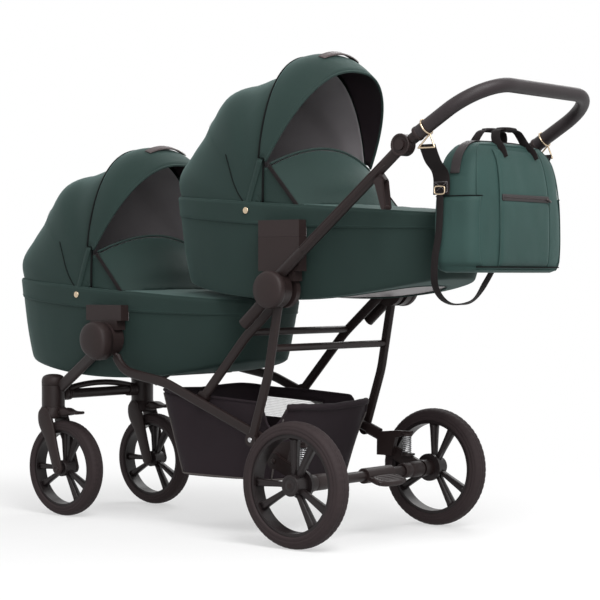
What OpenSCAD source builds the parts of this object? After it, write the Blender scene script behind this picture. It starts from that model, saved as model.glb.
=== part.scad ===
// Tandem twin pram: two carrycots on one folding frame, with a changing bag.
// Millimetres, +Z up, -X is the way it travels, the rear axle is at x = 0 before placing.

/* [Wheels] */
// Diameter of a rear wheel
rear_wheel_d = 300; // [290:1:310]
// Diameter of a front wheel
front_wheel_d = 254; // [244:1:258]
// Width of a rear tyre
rear_tyre_w = 48; // [42:1:50]
// Width of a front tyre
front_tyre_w = 44; // [38:1:48]
// Distance between the rear wheels, centre to centre
rear_track = 570; // [568:1:600]
// Distance between the front wheels, centre to centre
front_track = 346; // [336:1:352]
// Distance between the axles
wheelbase = 880; // [870:1:900]
// Distance of a front axle behind its swivel
trail = 48; // [42:1:52]

/* [Frame] */
// Height of a flat oval frame tube
tube_h = 25; // [22:0.5:27]
// Thickness of a flat oval frame tube
tube_t = 15; // [13:0.5:15.5]
// Distance of a side tube from the centre plane
side_y = 213.5; // [213:0.5:216]
// Distance of the rear hubs ahead of the rear axle
rear_hub_ahead = 91; // [88:1:94]
// Height of the rear hubs above the front ones
hub_rise = 130; // [125:1:135]
// Distance between the front and the rear hubs
hub_pitch = 585; // [580:1:590]
// Height of the front hubs above the floor
front_hub_z = 477; // [474:1:480]
// Radius of a hub
hub_r = 44; // [42:1:46]
// Height of the rear carrycot above the top of the front apron
cot_over = 1; // [0.5:0.1:8]

/* [Handle] */
// Diameter of a handle tube
handle_d = 26; // [24:0.5:27]
// Slope of the handle tubes, degrees
handle_slope = 39; // [37:0.5:41]
// Length of a handle tube from its hub to the tilt joint
handle_len = 499; // [490:1:510]
// Slope of the grip, degrees
grip_slope = 31; // [28:0.5:34]
// Length of the grip from the tilt joint to its crossbar
grip_len = 252; // [240:1:265]
// Diameter of the foam grip
grip_d = 33; // [30:0.5:34]
// Bend radius of the grip
grip_bend = 112; // [100:1:125]

/* [Carrycot] */
// Length of a carrycot at its rim
cot_l = 838; // [820:1:842]
// Width of a carrycot at its rim
cot_w = 424; // [416:1:425]
// Length of a carrycot at its base
base_l = 788; // [776:1:792]
// Width of a carrycot at its base
base_w = 358; // [350:1:359]
// Height of the rim at the head end
rim_head = 256; // [250:1:262]
// Height of the rim at the foot end
rim_foot = 194; // [188:1:196]
// Rise of the rocker base at its ends
rocker = 49.5; // [46:0.5:52]
// Height of a standing hood above the rim
hood_h = 357; // [348:1:359]
// Height of the raised wind flap
flap_h = 142; // [130:1:146]

/* [Bag and basket] */
// Width of the changing bag
bag_w = 390; // [376:1:392]
// Depth of the changing bag
bag_d = 146; // [138:1:150]
// Height of the changing bag
bag_h = 302; // [292:1:306]
// Width of the basket at its top
basket_w = 380; // [350:1:380]
// Height of the basket floor above the ground
basket_z = 137; // [130:1:145]
// Depth of the basket
basket_h = 200; // [185:1:205]

/* [Hidden] */
$fn = 48;
// gap between two pieces that meet, and running clearance of a pin
play = 0.3;
run = 0.05;
rear_r = rear_wheel_d / 2;
front_r = front_wheel_d / 2;
rear_y = rear_track / 2;
front_y = front_track / 2;
front_x = -wheelbase;
swivel_x = -wheelbase - trail;
rear_hub_x = -rear_hub_ahead;
front_hub_x = rear_hub_x - hub_pitch;
rear_hub_z = front_hub_z + hub_rise;
// layers of the frame, from the brace on the inside to the hub cover on the outside
leg_y = side_y + tube_t + 2 * play;
brace_y = side_y - tube_t - 2 * play;
leg_out = leg_y + tube_t / 2;
handle_r = handle_d / 2;
arm_y = leg_out + 2 * play + handle_r;
arm_in = arm_y - handle_r;
arm_out = arm_y + handle_r;
cover_t = 15;
hub_out = arm_out + play + cover_t;
pin_r = 8;
small_pin_r = 6;
hub_in = side_y - tube_t / 2;
hub_mid = side_y + tube_t / 2;
// tilt joint of the handle
handle_off = 18;
foot_x = rear_hub_x - handle_off * sin(handle_slope);
foot_z = rear_hub_z + handle_off * cos(handle_slope);
tilt_x = foot_x + handle_len * cos(handle_slope);
tilt_z = foot_z + handle_len * sin(handle_slope);
knuckle_r = 25;
button_r = 12;
button_out = 5;
grip_r = grip_d / 2;
bar_r = 11;
arm_gap = 44;
// carrycot
cot_a = cot_l / 2;
cot_b = cot_w / 2;
base_a = base_l / 2;
base_b = base_w / 2;
cot_hub = 33;
cloth = 3;
shell = 5;
plan_e = 3;
around = 40;
bracket_z = 148;
bracket_h = 40;
bracket_l = 126;
seat_top = 48;
front_cot_x = front_hub_x - cot_hub;
front_cot_z = front_hub_z + seat_top + play - bracket_z;
rear_cot_x = rear_hub_x - cot_hub;
hinge_back_l = 90;
hinge_z = 214;
hood_front_x = 51;
visor_r = 390;
visor_bulge = 16;
visor_t = 5;
flap_x = 69;
flap_lean = 92;
flap_bulge = 26;
flap_t = 12;
apron_t = 6;
apron_crown = 7;
rear_cot_z = front_cot_z + rim_foot + apron_t + apron_crown + play + cot_over;
riser_h = rear_cot_z + bracket_z - rear_hub_z - hub_r - 2 * play;
// whole length, centred on the origin
reach_front = front_cot_x - cot_a;
reach_rear = tilt_x + grip_len * cos(grip_slope) + grip_r;
x_mid = (reach_front + reach_rear) / 2;

function unit(v) = v / norm(v);
function mean(r) = [for (k = [0:2]) [for (p = r) p[k]] * [for (p = r) 1] / len(r)];
function pw(v, e) = sign(v) * pow(abs(v), e);
function plan(a, b, e, t) = [a * pw(cos(t), 2 / e), b * pw(sin(t), 2 / e)];
function mix(a, b, f) = a + (b - a) * f;
function turn(p, i) = let (u = p[i] - p[i - 1], v = p[i + 1] - p[i])
  atan2(u[0] * v[1] - u[1] * v[0], u[0] * v[0] + u[1] * v[1]);
function trim(p, i, b) = i == 0 || i == len(p) - 1 ? 0 : b[i] * tan(abs(turn(p, i)) / 2);

module place() translate([-x_mid, 0, 0]) children();
module along_y(y0, y1, r) translate([0, y0, 0]) rotate([-90, 0, 0]) cylinder(r = r, h = y1 - y0);
module side(s) if (s < 0) mirror([0, 1, 0]) children(); else children();

// flat oval profile, its height along x
module oval(h, t) {
  square([h - t, t], center = true);
  for (s = [-1, 1]) translate([s * (h - t) / 2, 0]) circle(t / 2);
}

// tube along points in the x-z plane, bend radius b[i] at point i, profile as child
module bent(p, b) {
  for (i = [0:len(p) - 2]) {
    d = unit(p[i + 1] - p[i]);
    a = p[i] + d * trim(p, i, b);
    l = norm(p[i + 1] - p[i]) - trim(p, i, b) - trim(p, i + 1, b);
    translate([a[0], 0, a[1]]) rotate([0, atan2(d[0], d[1]), 0]) linear_extrude(l) children();
  }
  if (len(p) > 2) for (i = [1:len(p) - 2]) {
    d = unit(p[i] - p[i - 1]);
    w = turn(p, i);
    s = sign(w);
    c = p[i] - d * trim(p, i, b) + s * b[i] * [-d[1], d[0]];
    from = atan2(-s * d[0], s * d[1]);
    translate([c[0], 0, c[1]]) rotate([90, 0, 0]) rotate([0, 0, s > 0 ? from : from + w])
      rotate_extrude(angle = abs(w)) translate([b[i], 0]) children();
  }
}

// flat oval tube swept along points in the x-z plane, its height in that plane
bend_steps = 5;
oval_sides = 16;
function path(p, b) = concat([concat(p[0], unit(p[1] - p[0]))],
  [for (i = [1:len(p) - 2]) let (d = unit(p[i] - p[i - 1]), w = turn(p, i), s = sign(w),
    c = p[i] - d * trim(p, i, b) + s * b[i] * [-d[1], d[0]]) for (k = [0:bend_steps])
    let (q = w * k / bend_steps, e = [d[0] * cos(q) - d[1] * sin(q), d[0] * sin(q) + d[1] * cos(q)])
    concat(c + s * b[i] * [e[1], -e[0]], e)],
  [concat(p[len(p) - 1], unit(p[len(p) - 1] - p[len(p) - 2]))]);
function oval_ring(c, h, t) = [for (k = [0:oval_sides - 1]) let (q = (k + 0.5) * 360 / oval_sides,
  u = (h - t) / 2 * sign(sin(q)) + t / 2 * sin(q), v = t / 2 * cos(q))
  [c[0] - c[3] * u, v, c[1] + c[2] * u]];
module swept(p, b, h, t) loft([for (c = path(p, b)) oval_ring(c, h, t)]);

// straight bar between two points, profile as child
module bar(p, q) {
  d = q - p;
  translate(p) rotate([0, acos(d[2] / norm(d)), atan2(d[1], d[0])]) linear_extrude(norm(d)) children();
}

// closed solid through rings of points, the ends closed to their middles
module loft(rings) {
  n = len(rings[0]);
  m = len(rings);
  pts = concat([for (r = rings) each r], [mean(rings[0]), mean(rings[m - 1])]);
  sides = [for (i = [0:m - 2], k = [0:n - 1]) each [
    [i * n + k, (i + 1) * n + k, (i + 1) * n + (k + 1) % n],
    [i * n + k, (i + 1) * n + (k + 1) % n, i * n + (k + 1) % n]]];
  ends = [for (k = [0:n - 1]) each [
    [m * n, k, (k + 1) % n], [m * n + 1, (m - 1) * n + (k + 1) % n, (m - 1) * n + k]]];
  polyhedron(pts, concat(sides, ends));
}

// closed hoop through rings of points, the last ring joined to the first
module hoop(rings) {
  n = len(rings[0]);
  m = len(rings);
  faces = [for (i = [0:m - 1], k = [0:n - 1]) let (j = (i + 1) % m) each [
    [i * n + k, j * n + k, j * n + (k + 1) % n], [i * n + k, j * n + (k + 1) % n, i * n + (k + 1) % n]]];
  polyhedron([for (r = rings) each r], faces);
}

// sheet with thickness: each ring runs out on one face and back on the other
module sheet(rings) {
  n = len(rings[0]);
  m = len(rings);
  e = (m - 1) * n;
  sides = [for (i = [0:m - 2], k = [0:n - 1]) each [
    [i * n + k, (i + 1) * n + k, (i + 1) * n + (k + 1) % n],
    [i * n + k, (i + 1) * n + (k + 1) % n, i * n + (k + 1) % n]]];
  ends = [for (k = [0:n / 2 - 2]) each [
    [k, k + 1, n - 2 - k], [k, n - 2 - k, n - 1 - k],
    [e + k, e + n - 2 - k, e + k + 1], [e + k, e + n - 1 - k, e + n - 2 - k]]];
  polyhedron([for (r = rings) each r], concat(sides, ends));
}

// wheels
tyre_share = 0.2;
rim_share = 0.745;
rim_w_share = 0.8;
crown_share = 0.7;
wheel_hub_share = 0.17;
spoke_w_share = 0.075;
spoke_t_share = 0.3;
spoke_fan = 15;
drum_r = 35;
drum_t = 9;

module tyre(r, w) rotate([90, 0, 0]) rotate_extrude() intersection() {
  translate([r - crown_share * w, 0]) circle(crown_share * w);
  translate([r - tyre_share * r, -w / 2]) square([tyre_share * r, w]);
}

module rim(r, w, bore) rotate([90, 0, 0]) {
  ro = r - tyre_share * r - play;
  ri = rim_share * r;
  rh = wheel_hub_share * r;
  sw = spoke_w_share * r;
  st = spoke_t_share * w;
  difference() {
    union() {
      rotate_extrude() translate([ri, -rim_w_share * w / 2]) square([ro - ri, rim_w_share * w]);
      cylinder(r = rh, h = rim_w_share * w, center = true);
      for (a = [75, 195, 315], s = [-1, 1]) {
        p = (rh - sw / 2) * [cos(a + s * spoke_fan), sin(a + s * spoke_fan)];
        q = (ri + play) * [cos(a + s * spoke_fan), sin(a + s * spoke_fan)];
        translate([p[0], p[1], -st / 2]) rotate([0, 0, a + s * spoke_fan])
          translate([0, -sw / 2, 0]) cube([norm(q - p), sw, st]);
      }
    }
    cylinder(r = bore + run, h = 2 * w, center = true);
  }
}

module rear_tyre(s) place() color("dimgray") translate([0, s * rear_y, rear_r]) tyre(rear_r, rear_tyre_w);
module rear_rim(s) place() color("black") translate([0, s * rear_y, rear_r]) union() {
  rim(rear_r, rear_tyre_w, small_pin_r);
  side(s) difference() {
    along_y(-rim_w_share * rear_tyre_w / 2 - drum_t, -rim_w_share * rear_tyre_w / 2, drum_r);
    along_y(-rear_tyre_w, 0, small_pin_r + run);
  }
}
module front_tyre(s) place() color("dimgray")
  translate([front_x, s * front_y, front_r]) tyre(front_r, front_tyre_w);
module front_rim(s) place() color("black")
  translate([front_x, s * front_y, front_r]) rim(front_r, front_tyre_w, small_pin_r);

// front swivels
stem_r = 31;
stem_z = 290;
stem_h = 80;
crown_z = stem_z - play;
crown_h = 28;
king_h = 55;
fork_t = 9;
fork_gap = 4;
fork_top_r = 17;
fork_end_r = 14;
beam_r = 13;
beam_z = 321;
bridge_rise = 26;
bridge_r = 8;
lever_l = 62;
lever_w = 30;
lever_t = 7;

module dome(r, h) {
  cylinder(r = r, h = h - r / 3);
  translate([0, 0, h - r / 3]) cylinder(r1 = r, r2 = 2 * r / 3, h = r / 3);
}

module front_beam() place() color("black") difference() {
  bow = (front_y * front_y + bridge_rise * bridge_rise) / (2 * bridge_rise);
  reach = asin(front_y / bow);
  union() {
    for (s = [-1, 1]) translate([swivel_x, s * front_y, stem_z]) dome(stem_r, stem_h);
    translate([swivel_x, 0, beam_z]) along_y(-front_y, front_y, beam_r);
    translate([swivel_x, 0, beam_z + bridge_rise - bow]) rotate([0, -90, 0])
      rotate([0, 0, -reach]) rotate_extrude(angle = 2 * reach) translate([bow, 0]) circle(bridge_r);
  }
  for (s = [-1, 1]) translate([swivel_x, s * front_y, stem_z - play])
    cylinder(r = pin_r + run, h = king_h + 2 * play);
}

module fork(s) place() color("black") {
  y = front_tyre_w / 2 + fork_gap;
  translate([swivel_x, s * front_y, 0]) union() {
    translate([0, 0, crown_z - crown_h]) cylinder(r = stem_r - play, h = crown_h);
    translate([0, 0, crown_z]) cylinder(r = pin_r, h = king_h);
    for (k = [-1, 1]) side(k) hull() {
      translate([0, 0, crown_z - fork_top_r]) along_y(y, y + fork_t, fork_top_r, $fn = 32);
      translate([trail, 0, front_r]) along_y(y, y + fork_t, fork_end_r, $fn = 32);
    }
    translate([trail, 0, front_r]) along_y(-y - fork_t, y + fork_t, small_pin_r);
  }
}

module swivel_lock(s) place() color("black")
  translate([swivel_x + stem_r, s * front_y, crown_z - crown_h / 2]) union() {
    translate([lever_t / 2, 0, 0]) along_y(-lever_w / 2, lever_w / 2, lever_t / 2);
    translate([lever_t / 2, -lever_w / 2, -lever_t / 2]) cube([lever_l, lever_w, lever_t]);
    translate([lever_t / 2 + lever_l, 0, 0]) along_y(-lever_w / 2, lever_w / 2, lever_t / 2);
  }

// frame tubes
side_bend = [0, 80, 220, 0];
stub_l = 50;
side_end_x = -126;
side_end_up = 83;
side_end_z = rear_r + side_end_up;
low_bend_x = -480;
low_bend_z = 371;
high_bend_x = -632;
high_bend_z = 396;
stub_a = atan2(front_hub_z - high_bend_z, high_bend_x - front_hub_x);
stub_x = front_hub_x + stub_l * cos(stub_a);
stub_z = front_hub_z - stub_l * sin(stub_a);
leg_foot_x = -180;
leg_foot_up = 10;
leg_foot_z = side_end_z + leg_foot_up;
leg_bend_x = -129;
leg_bend_z = 400;
leg_bend = 300;
brace_foot_x = -364;
brace_foot_z = 338;
brace_bend_x = -225;
brace_bend_z = 492;
brace_bend = 260;
eye_r = 16;

module side_tube(s) place() color("black") side(s) translate([0, side_y, 0])
  swept([[stub_x, stub_z], [high_bend_x, high_bend_z], [low_bend_x, low_bend_z], [side_end_x, side_end_z]],
    side_bend, tube_h, tube_t);

module front_legs() place() color("black") for (s = [-1, 1]) side(s) {
  a = [front_hub_x, side_y + play, front_hub_z];
  b = [swivel_x, front_y, beam_z];
  d = unit(b - a);
  leg_h = tube_h + tube_t / 2;
  hub_end = (hub_r + play) / norm([d[0], d[2]]);
  stem_end = (stem_r + play + leg_h / 2 * abs(d[2])) / norm([d[0], d[1]]);
  bar(a + d * hub_end, b - d * stem_end) oval(leg_h, tube_t);
}

module eye(x, z, y) translate([x, 0, z]) along_y(y - tube_t / 2, y + tube_t / 2, eye_r);
module bore(x, z, r) translate([x, 0, z]) along_y(0, hub_out, r + run);

module rear_leg(s) place() color("black") side(s) difference() {
  union() {
    translate([0, leg_y, 0]) swept([[rear_hub_x, rear_hub_z], [leg_bend_x, leg_bend_z],
      [leg_foot_x, leg_foot_z]], [0, leg_bend, 0], tube_h, tube_t - 2 * play);
    eye(rear_hub_x, rear_hub_z, leg_y);
    eye(leg_foot_x, leg_foot_z, leg_y);
  }
  bore(rear_hub_x, rear_hub_z, pin_r);
}

module brace(s) place() color("black") side(s) difference() {
  union() {
    translate([0, brace_y, 0]) swept([[rear_hub_x, rear_hub_z], [brace_bend_x, brace_bend_z],
      [brace_foot_x, brace_foot_z]], [0, brace_bend, 0], tube_h, tube_t - 2 * play);
    eye(rear_hub_x, rear_hub_z, brace_y);
    eye(brace_foot_x, brace_foot_z, brace_y);
  }
  bore(rear_hub_x, rear_hub_z, pin_r);
}

cross_r = 9;
upper_bar_x = -217;
upper_bar_z = 502;
lower_bar_x = -118;
lower_bar_z = 466;
module upper_crossbar() place() color("black") translate([upper_bar_x, 0, upper_bar_z])
  along_y(-brace_y + tube_t / 2 + play, brace_y - tube_t / 2 - play, cross_r);
module lower_crossbar() place() color("black") translate([lower_bar_x, 0, lower_bar_z])
  along_y(-leg_y + tube_t / 2 + play, leg_y - tube_t / 2 - play, cross_r);

// hubs
egg_r = 24;
egg_x = 14;
egg_z = -27;
front_out = hub_out;
seat_l = 96;
seat_h = 24;
module front_hub(s) place() color("black") side(s) translate([front_hub_x, 0, front_hub_z]) {
  union() {
    along_y(hub_in, front_out, hub_r);
    translate([egg_x, 0, egg_z]) along_y(arm_out + play, front_out, egg_r);
    translate([-seat_l / 2, hub_in, seat_top - seat_h]) cube([seat_l, arm_in - hub_in, seat_h]);
    translate([0, side_y, 0]) bent([[0, 0], (stub_l - play) * [cos(stub_a), -sin(stub_a)]], [0, 0])
      circle(tube_t / 2 - play);
  }
}

module rear_hub(s) place() color("black") side(s) translate([rear_hub_x, 0, rear_hub_z]) {
  union() {
    along_y(hub_in, hub_mid, hub_r);
    along_y(brace_y - tube_t / 2, hub_out, pin_r);
    along_y(arm_out + play, hub_out, hub_r);
    translate([-seat_l / 2, hub_in, hub_r - seat_h + play]) cube([seat_l, leg_out - hub_in, seat_h - play]);
  }
}

riser_y = 2;
module risers() place() color("black") for (s = [-1, 1]) side(s)
  translate([rear_hub_x - bracket_l / 2, hub_in + riser_y, rear_hub_z + hub_r + play])
    cube([bracket_l, leg_out - hub_in - riser_y, riser_h]);

// rear suspension
pivot_x = -110;
pivot_up = 46;
pivot_z = rear_r + pivot_up;
sleeve_l = 34;
sleeve_w = 3;
coil_r = 10.5;
wire_r = 1.6;
coil_turns = 8;
coil_x = -36;
coil_up = 37;
coil_h = 45;
coil_low = rear_r + coil_up;
coil_high = coil_low + coil_h;
cap_r = 14;
cap_t = 6;
plate_h = 34;
arm_r = 19;
arm_t = 12;
arm_h = 32;
seat_w = 22;
axle_r = 13;
boss_r = 21;
post_x = -68;
post_w = 14;

module suspension_bracket(s) place() color("black") side(s) {
  d = unit([side_end_x - low_bend_x, side_end_z - low_bend_z]);
  e = [side_end_x, side_end_z];
  difference() {
    union() {
      translate([0, side_y, 0]) bent([e - sleeve_l * d, e + sleeve_w * d], [0, 0])
        oval(tube_h + 2 * sleeve_w, tube_t + sleeve_w);
      translate([0, side_y + tube_t / 2, 0]) rotate([90, 0, 0]) linear_extrude(tube_t)
        polygon([e, [e[0], coil_high + cap_t + play], [post_x, coil_high + cap_t + cap_t],
          [coil_x + cap_r, coil_high + cap_t + cap_t], [coil_x + cap_r, coil_high + cap_t],
          [post_x, coil_high - cap_t], [post_x - post_w, pivot_z - plate_h / 2],
          [pivot_x - plate_h / 2, pivot_z - plate_h / 2]]);
      translate([pivot_x, 0, pivot_z]) along_y(side_y, side_y + tube_t / 2 + arm_t + play, small_pin_r);
      translate([coil_x, side_y, coil_high + play]) cylinder(r = cap_r, h = cap_t);
    }
    translate([0, side_y, 0]) bent([e - 2 * sleeve_l * d, e], [0, 0])
      oval(tube_h + 2 * run, tube_t + 2 * run);
  }
}

module rear_axle() place() color("black") union() {
  translate([0, 0, rear_r]) along_y(-leg_out, leg_out, axle_r);
  translate([0, 0, rear_r]) along_y(-rear_y - rear_tyre_w / 2, rear_y + rear_tyre_w / 2, small_pin_r);
  for (s = [-1, 1]) side(s) {
    y = side_y + tube_t / 2 + play;
    difference() {
      union() {
        translate([0, 0, rear_r])
          along_y(y, rear_y - rim_w_share * rear_tyre_w / 2 - drum_t - play, boss_r);
        translate([pivot_x, 0, pivot_z]) along_y(y, y + arm_t, arm_r);
        translate([0, y + arm_t / 2, 0]) bent([[pivot_x, pivot_z], [0, rear_r]], [0, 0])
          square([arm_h, arm_t - 2 * play], center = true);
        translate([coil_x, side_y, coil_low - play - cap_t]) cylinder(r = cap_r, h = cap_t);
        translate([coil_x - seat_w / 2, side_y, coil_low - cap_t])
          cube([seat_w, y + arm_t - play - side_y, cap_t - 2 * play]);
      }
      translate([pivot_x, 0, pivot_z]) along_y(0, hub_out, small_pin_r + run);
    }
  }
}

coil_sides = 6;
coil_rings = 8;
function coil_pt(t, h) = [coil_r * cos(t), coil_r * sin(t), wire_r + h * t / (360 * coil_turns)];
module coil(h) {
  steps = coil_turns * coil_rings;
  rings = [for (i = [0:steps]) let (t = i * 360 / coil_rings, c = coil_pt(t, h - 2 * wire_r),
      o = [cos(t), sin(t), 0], rise = (h - 2 * wire_r) / (2 * PI * coil_turns),
      d = unit([-coil_r * sin(t), coil_r * cos(t), rise]),
      u = cross(d, o)) [for (k = [0:coil_sides - 1]) c + wire_r * (cos(k * 360 / coil_sides) * o
      + sin(k * 360 / coil_sides) * u)]];
  loft(rings);
}
echo(least_gap_between_curls = (coil_high - coil_low - 2 * wire_r) / coil_turns - 2 * wire_r);
module springs() place() color("silver") for (s = [-1, 1]) side(s)
  translate([coil_x, side_y, coil_low]) coil(coil_high - coil_low);

pedal_y0 = -20;
pedal_l = 110;
pedal_w = 34;
pedal_t = 9;
pedal_r = 19;
pedal_slope = 19;
module brake_pedal() place() color("gray") translate([0, 0, rear_r]) difference() {
  union() {
    along_y(pedal_y0, pedal_y0 + pedal_l, pedal_r);
    rotate([0, pedal_slope, 0]) translate([axle_r + play, pedal_y0 + play, -pedal_t / 2])
      cube([pedal_r - axle_r + pedal_w, pedal_l - 2 * play, pedal_t]);
  }
  along_y(pedal_y0 - pedal_l, pedal_y0 + 2 * pedal_l, axle_r + run);
}

// handle
tail_l = 128;
tail_slope = 41;
tail_h = 30;
latch_at = 400;
latch_pin_r = 4;
latch_drop = 26;
latch_l = 52;
latch_w = 22;
latch_t = 14;
lug_l = 30;
latch_x = foot_x + latch_at * cos(handle_slope) + latch_drop * sin(handle_slope);
latch_z = foot_z + latch_at * sin(handle_slope) - latch_drop * cos(handle_slope);

module handle_tube(s) place() color("black") side(s) difference() {
  union() {
    translate([0, arm_y, 0]) bent([[foot_x, foot_z], [tilt_x, tilt_z]], [0, 0]) circle(handle_r);
    translate([rear_hub_x, 0, rear_hub_z]) along_y(arm_in, arm_out, hub_r - play);
    translate([0, arm_y, 0]) bent([[rear_hub_x, rear_hub_z], [rear_hub_x - tail_l * cos(tail_slope),
      rear_hub_z - tail_l * sin(tail_slope)]], [0, 0]) oval(tail_h, handle_d - 2 * play);
    translate([tilt_x, 0, tilt_z]) along_y(arm_y + play, arm_out, knuckle_r);
    translate([foot_x + latch_at * cos(handle_slope), arm_y, foot_z + latch_at * sin(handle_slope)])
      rotate([0, -handle_slope, 0]) translate([-lug_l / 2, -latch_t / 2, -latch_drop - latch_pin_r])
        cube([lug_l, latch_t, latch_drop]);
  }
  bore(rear_hub_x, rear_hub_z, pin_r);
  translate([tilt_x, 0, tilt_z]) along_y(0, arm_y + play, knuckle_r + play);
  translate([tilt_x, 0, tilt_z]) along_y(arm_out - 2 * button_out, hub_out, button_r + run);
  translate([latch_x, 0, latch_z]) along_y(0, hub_out, latch_pin_r + run);
}

module fold_latch(s) place() color("black") side(s) translate([latch_x, arm_y, latch_z])
  rotate([0, -handle_slope, 0]) union() {
    along_y(-latch_t / 2 - latch_t / 2, latch_t, latch_pin_r);
    for (k = [-1, 1]) side(k) hull() {
      along_y(latch_t / 2 + play, latch_t, latch_w / 2, $fn = 32);
      translate([-latch_l / 2, 0, -latch_l]) along_y(latch_t / 2 + play, latch_t, latch_w / 4, $fn = 32);
    }
    translate([-latch_l / 2, 0, -latch_l]) along_y(-latch_t, latch_t, latch_w / 4);
  }

module tilt_button(s) place() color("black") side(s) translate([tilt_x, 0, tilt_z])
  along_y(arm_out - button_out, arm_out + button_out, button_r);

// grip: a bow in the x-z plane, laid over so that it spans the arms
module bow(r, from) translate([tilt_x, 0, tilt_z]) rotate([0, -grip_slope, 0]) rotate([-90, 0, 0])
  bent([[from, -arm_y], [grip_len, -arm_y], [grip_len, arm_y], [from, arm_y]],
    [0, grip_bend, grip_bend, 0]) circle(r);

module handle_bar() place() color("black") {
  union() {
    bow(bar_r, knuckle_r + 2 * play);
    for (s = [-1, 1]) side(s) translate([tilt_x, 0, tilt_z]) {
      along_y(arm_in, arm_y - play, knuckle_r);
      rotate([0, -grip_slope, 0]) translate([0, arm_in, -bar_r])
        cube([arm_gap - play, handle_r - play, 2 * bar_r]);
    }
  }
}

module handle_grip() place() color("black") difference() {
  bow(grip_r, arm_gap);
  bow(bar_r + run, 0);
}

// bag
ring_at = 74;
ring_x = tilt_x + ring_at * cos(grip_slope);
ring_z = tilt_z + ring_at * sin(grip_slope);
ring_wire = 2;
ring_drop = 30;
ring_half = 22;
hook_z = ring_z - grip_r - ring_drop;
module wire(p, q) bar(p, q) circle(ring_wire);
collar_r = grip_r + ring_wire + play;
module bag_rings() place() color("gold") for (s = [-1, 1]) side(s)
  translate([ring_x, arm_y, ring_z]) union() {
  rotate([0, 90 - grip_slope, 0]) rotate_extrude() translate([collar_r, 0]) circle(ring_wire);
  top = collar_r * [sin(grip_slope), 0, -cos(grip_slope)];
  low = -grip_r - ring_drop;
  wire(top, [-ring_half, 0, low]);
  wire(top, [ring_half, 0, low]);
  wire([-ring_half, 0, low], [ring_half, 0, low]);
  for (k = [-1, 1]) translate([k * ring_half, 0, low]) sphere(ring_wire);
}

bag_gap = 12;
bag_x = rear_cot_x + cot_a + bag_gap + bag_d / 2;
bag_rise = 25;
bag_top = hook_z - ring_wire - play;
bag_shares = [[0.04, 0.04, 0], [0.7, 0.9, 0], [0.86, 0.96, 0.02], [0.96, 0.99, 0.1], [1, 0.985, 0.35],
  [0.95, 0.965, 0.62], [0.8, 0.9, 0.83], [0.6, 0.79, 0.93], [0.38, 0.6, 0.985], [0.04, 0.04, 1]];
bag_e = 5;
bag_z = bag_top + bag_rise - bag_h;
tab_w = 40;
tab_t = 3;
tab_rise = 8;
module bag_body() place() color("darkslategray") {
  translate([bag_x, 0, bag_z]) loft([for (r = bag_shares) [for (k = [0:around - 1])
    let (p = plan(r[0] * bag_d / 2, r[1] * bag_w / 2, bag_e, k * 360 / around))
    [p[0], p[1], r[2] * bag_h]]]);
}

loop_r = 40;
loop_w = 22;
loop_t = 4;
loop_off = 22;
loop_sink = 1.4;
module bag_handles() place() color("black") {
  for (k = [-1, 1]) translate([bag_x + k * loop_off, 0, bag_z + bag_h - loop_sink]) rotate([90, 0, 90])
    rotate_extrude(angle = 180) translate([loop_r, 0]) square([loop_t, loop_w], center = true);
  for (s = [-1, 1]) side(s) translate([ring_x + tab_w / 2, 0, 0]) rotate([90, 0, -90]) {
    y0 = tab_y_share * bag_w / 2 + play;
    y1 = arm_y - ring_wire - play;
    low = bag_z + bag_h * tab_low_share;
    mid = bag_z + bag_h * tab_share;
    top = hook_z + tab_rise;
    linear_extrude(tab_w) polygon([[-y0, low], [-y0, mid], [-y1 + tab_t + play, top], [-y1, top],
      [-y0 - tab_t, mid], [-y0 - tab_t, low]]);
  }
}
tab_share = 0.62;
tab_low_share = 0.34;
tab_y_share = 0.985;

strap_w = 18;
strap_t = 2.4;
strap_x = bag_x - bag_d / 2;
strap_shares = [[0.287, -1.01, 0.6, 0], [0.287, -1.01, 0.45, 0], [0.27, -1.03, 0.25, 0],
  [0.22, -1.04, 0.1, 0], [0.18, -1, -0.08, 0], [0.14, -0.84, -0.18, 0], [0.1, -0.6, -0.235, 0],
  [0.06, -0.3, -0.24, 0.2], [0.01, 0, -0.21, 0.55], [-0.035, 0.28, -0.1, 1], [-0.04, 0.56, 0.08, 1],
  [-0.04, 0.8, 0.28, 1], [0, 1.03, 0.4, 0.6], [0.15, 1.03, 0.46, 0.15], [0.287, 1.01, 0.53, 0],
  [0.287, 1.01, 0.6, 0]];
function strap_pt(r) = [strap_x + r[0] * bag_d, r[1] * bag_w / 2, bag_z + r[2] * bag_h];
module bag_strap() place() color("black") {
  p = [for (r = strap_shares) strap_pt(r)];
  n = len(p) - 1;
  rings = [for (i = [0:n]) let (d = unit(p[min(i + 1, n)] - p[max(i - 1, 0)]), f = strap_shares[i][3],
      flat = unit(cross([1, 0, 0], d)), w0 = unit([1, 0, 0] * (1 - f) + flat * f),
      w = unit(w0 - d * (w0 * d)), u = cross(d, w)) [for (q = [[-1, -1], [1, -1], [1, 1], [-1, 1]])
      p[i] + w * q[0] * strap_w / 2 + u * q[1] * strap_t / 2]];
  loft(rings);
}

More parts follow.
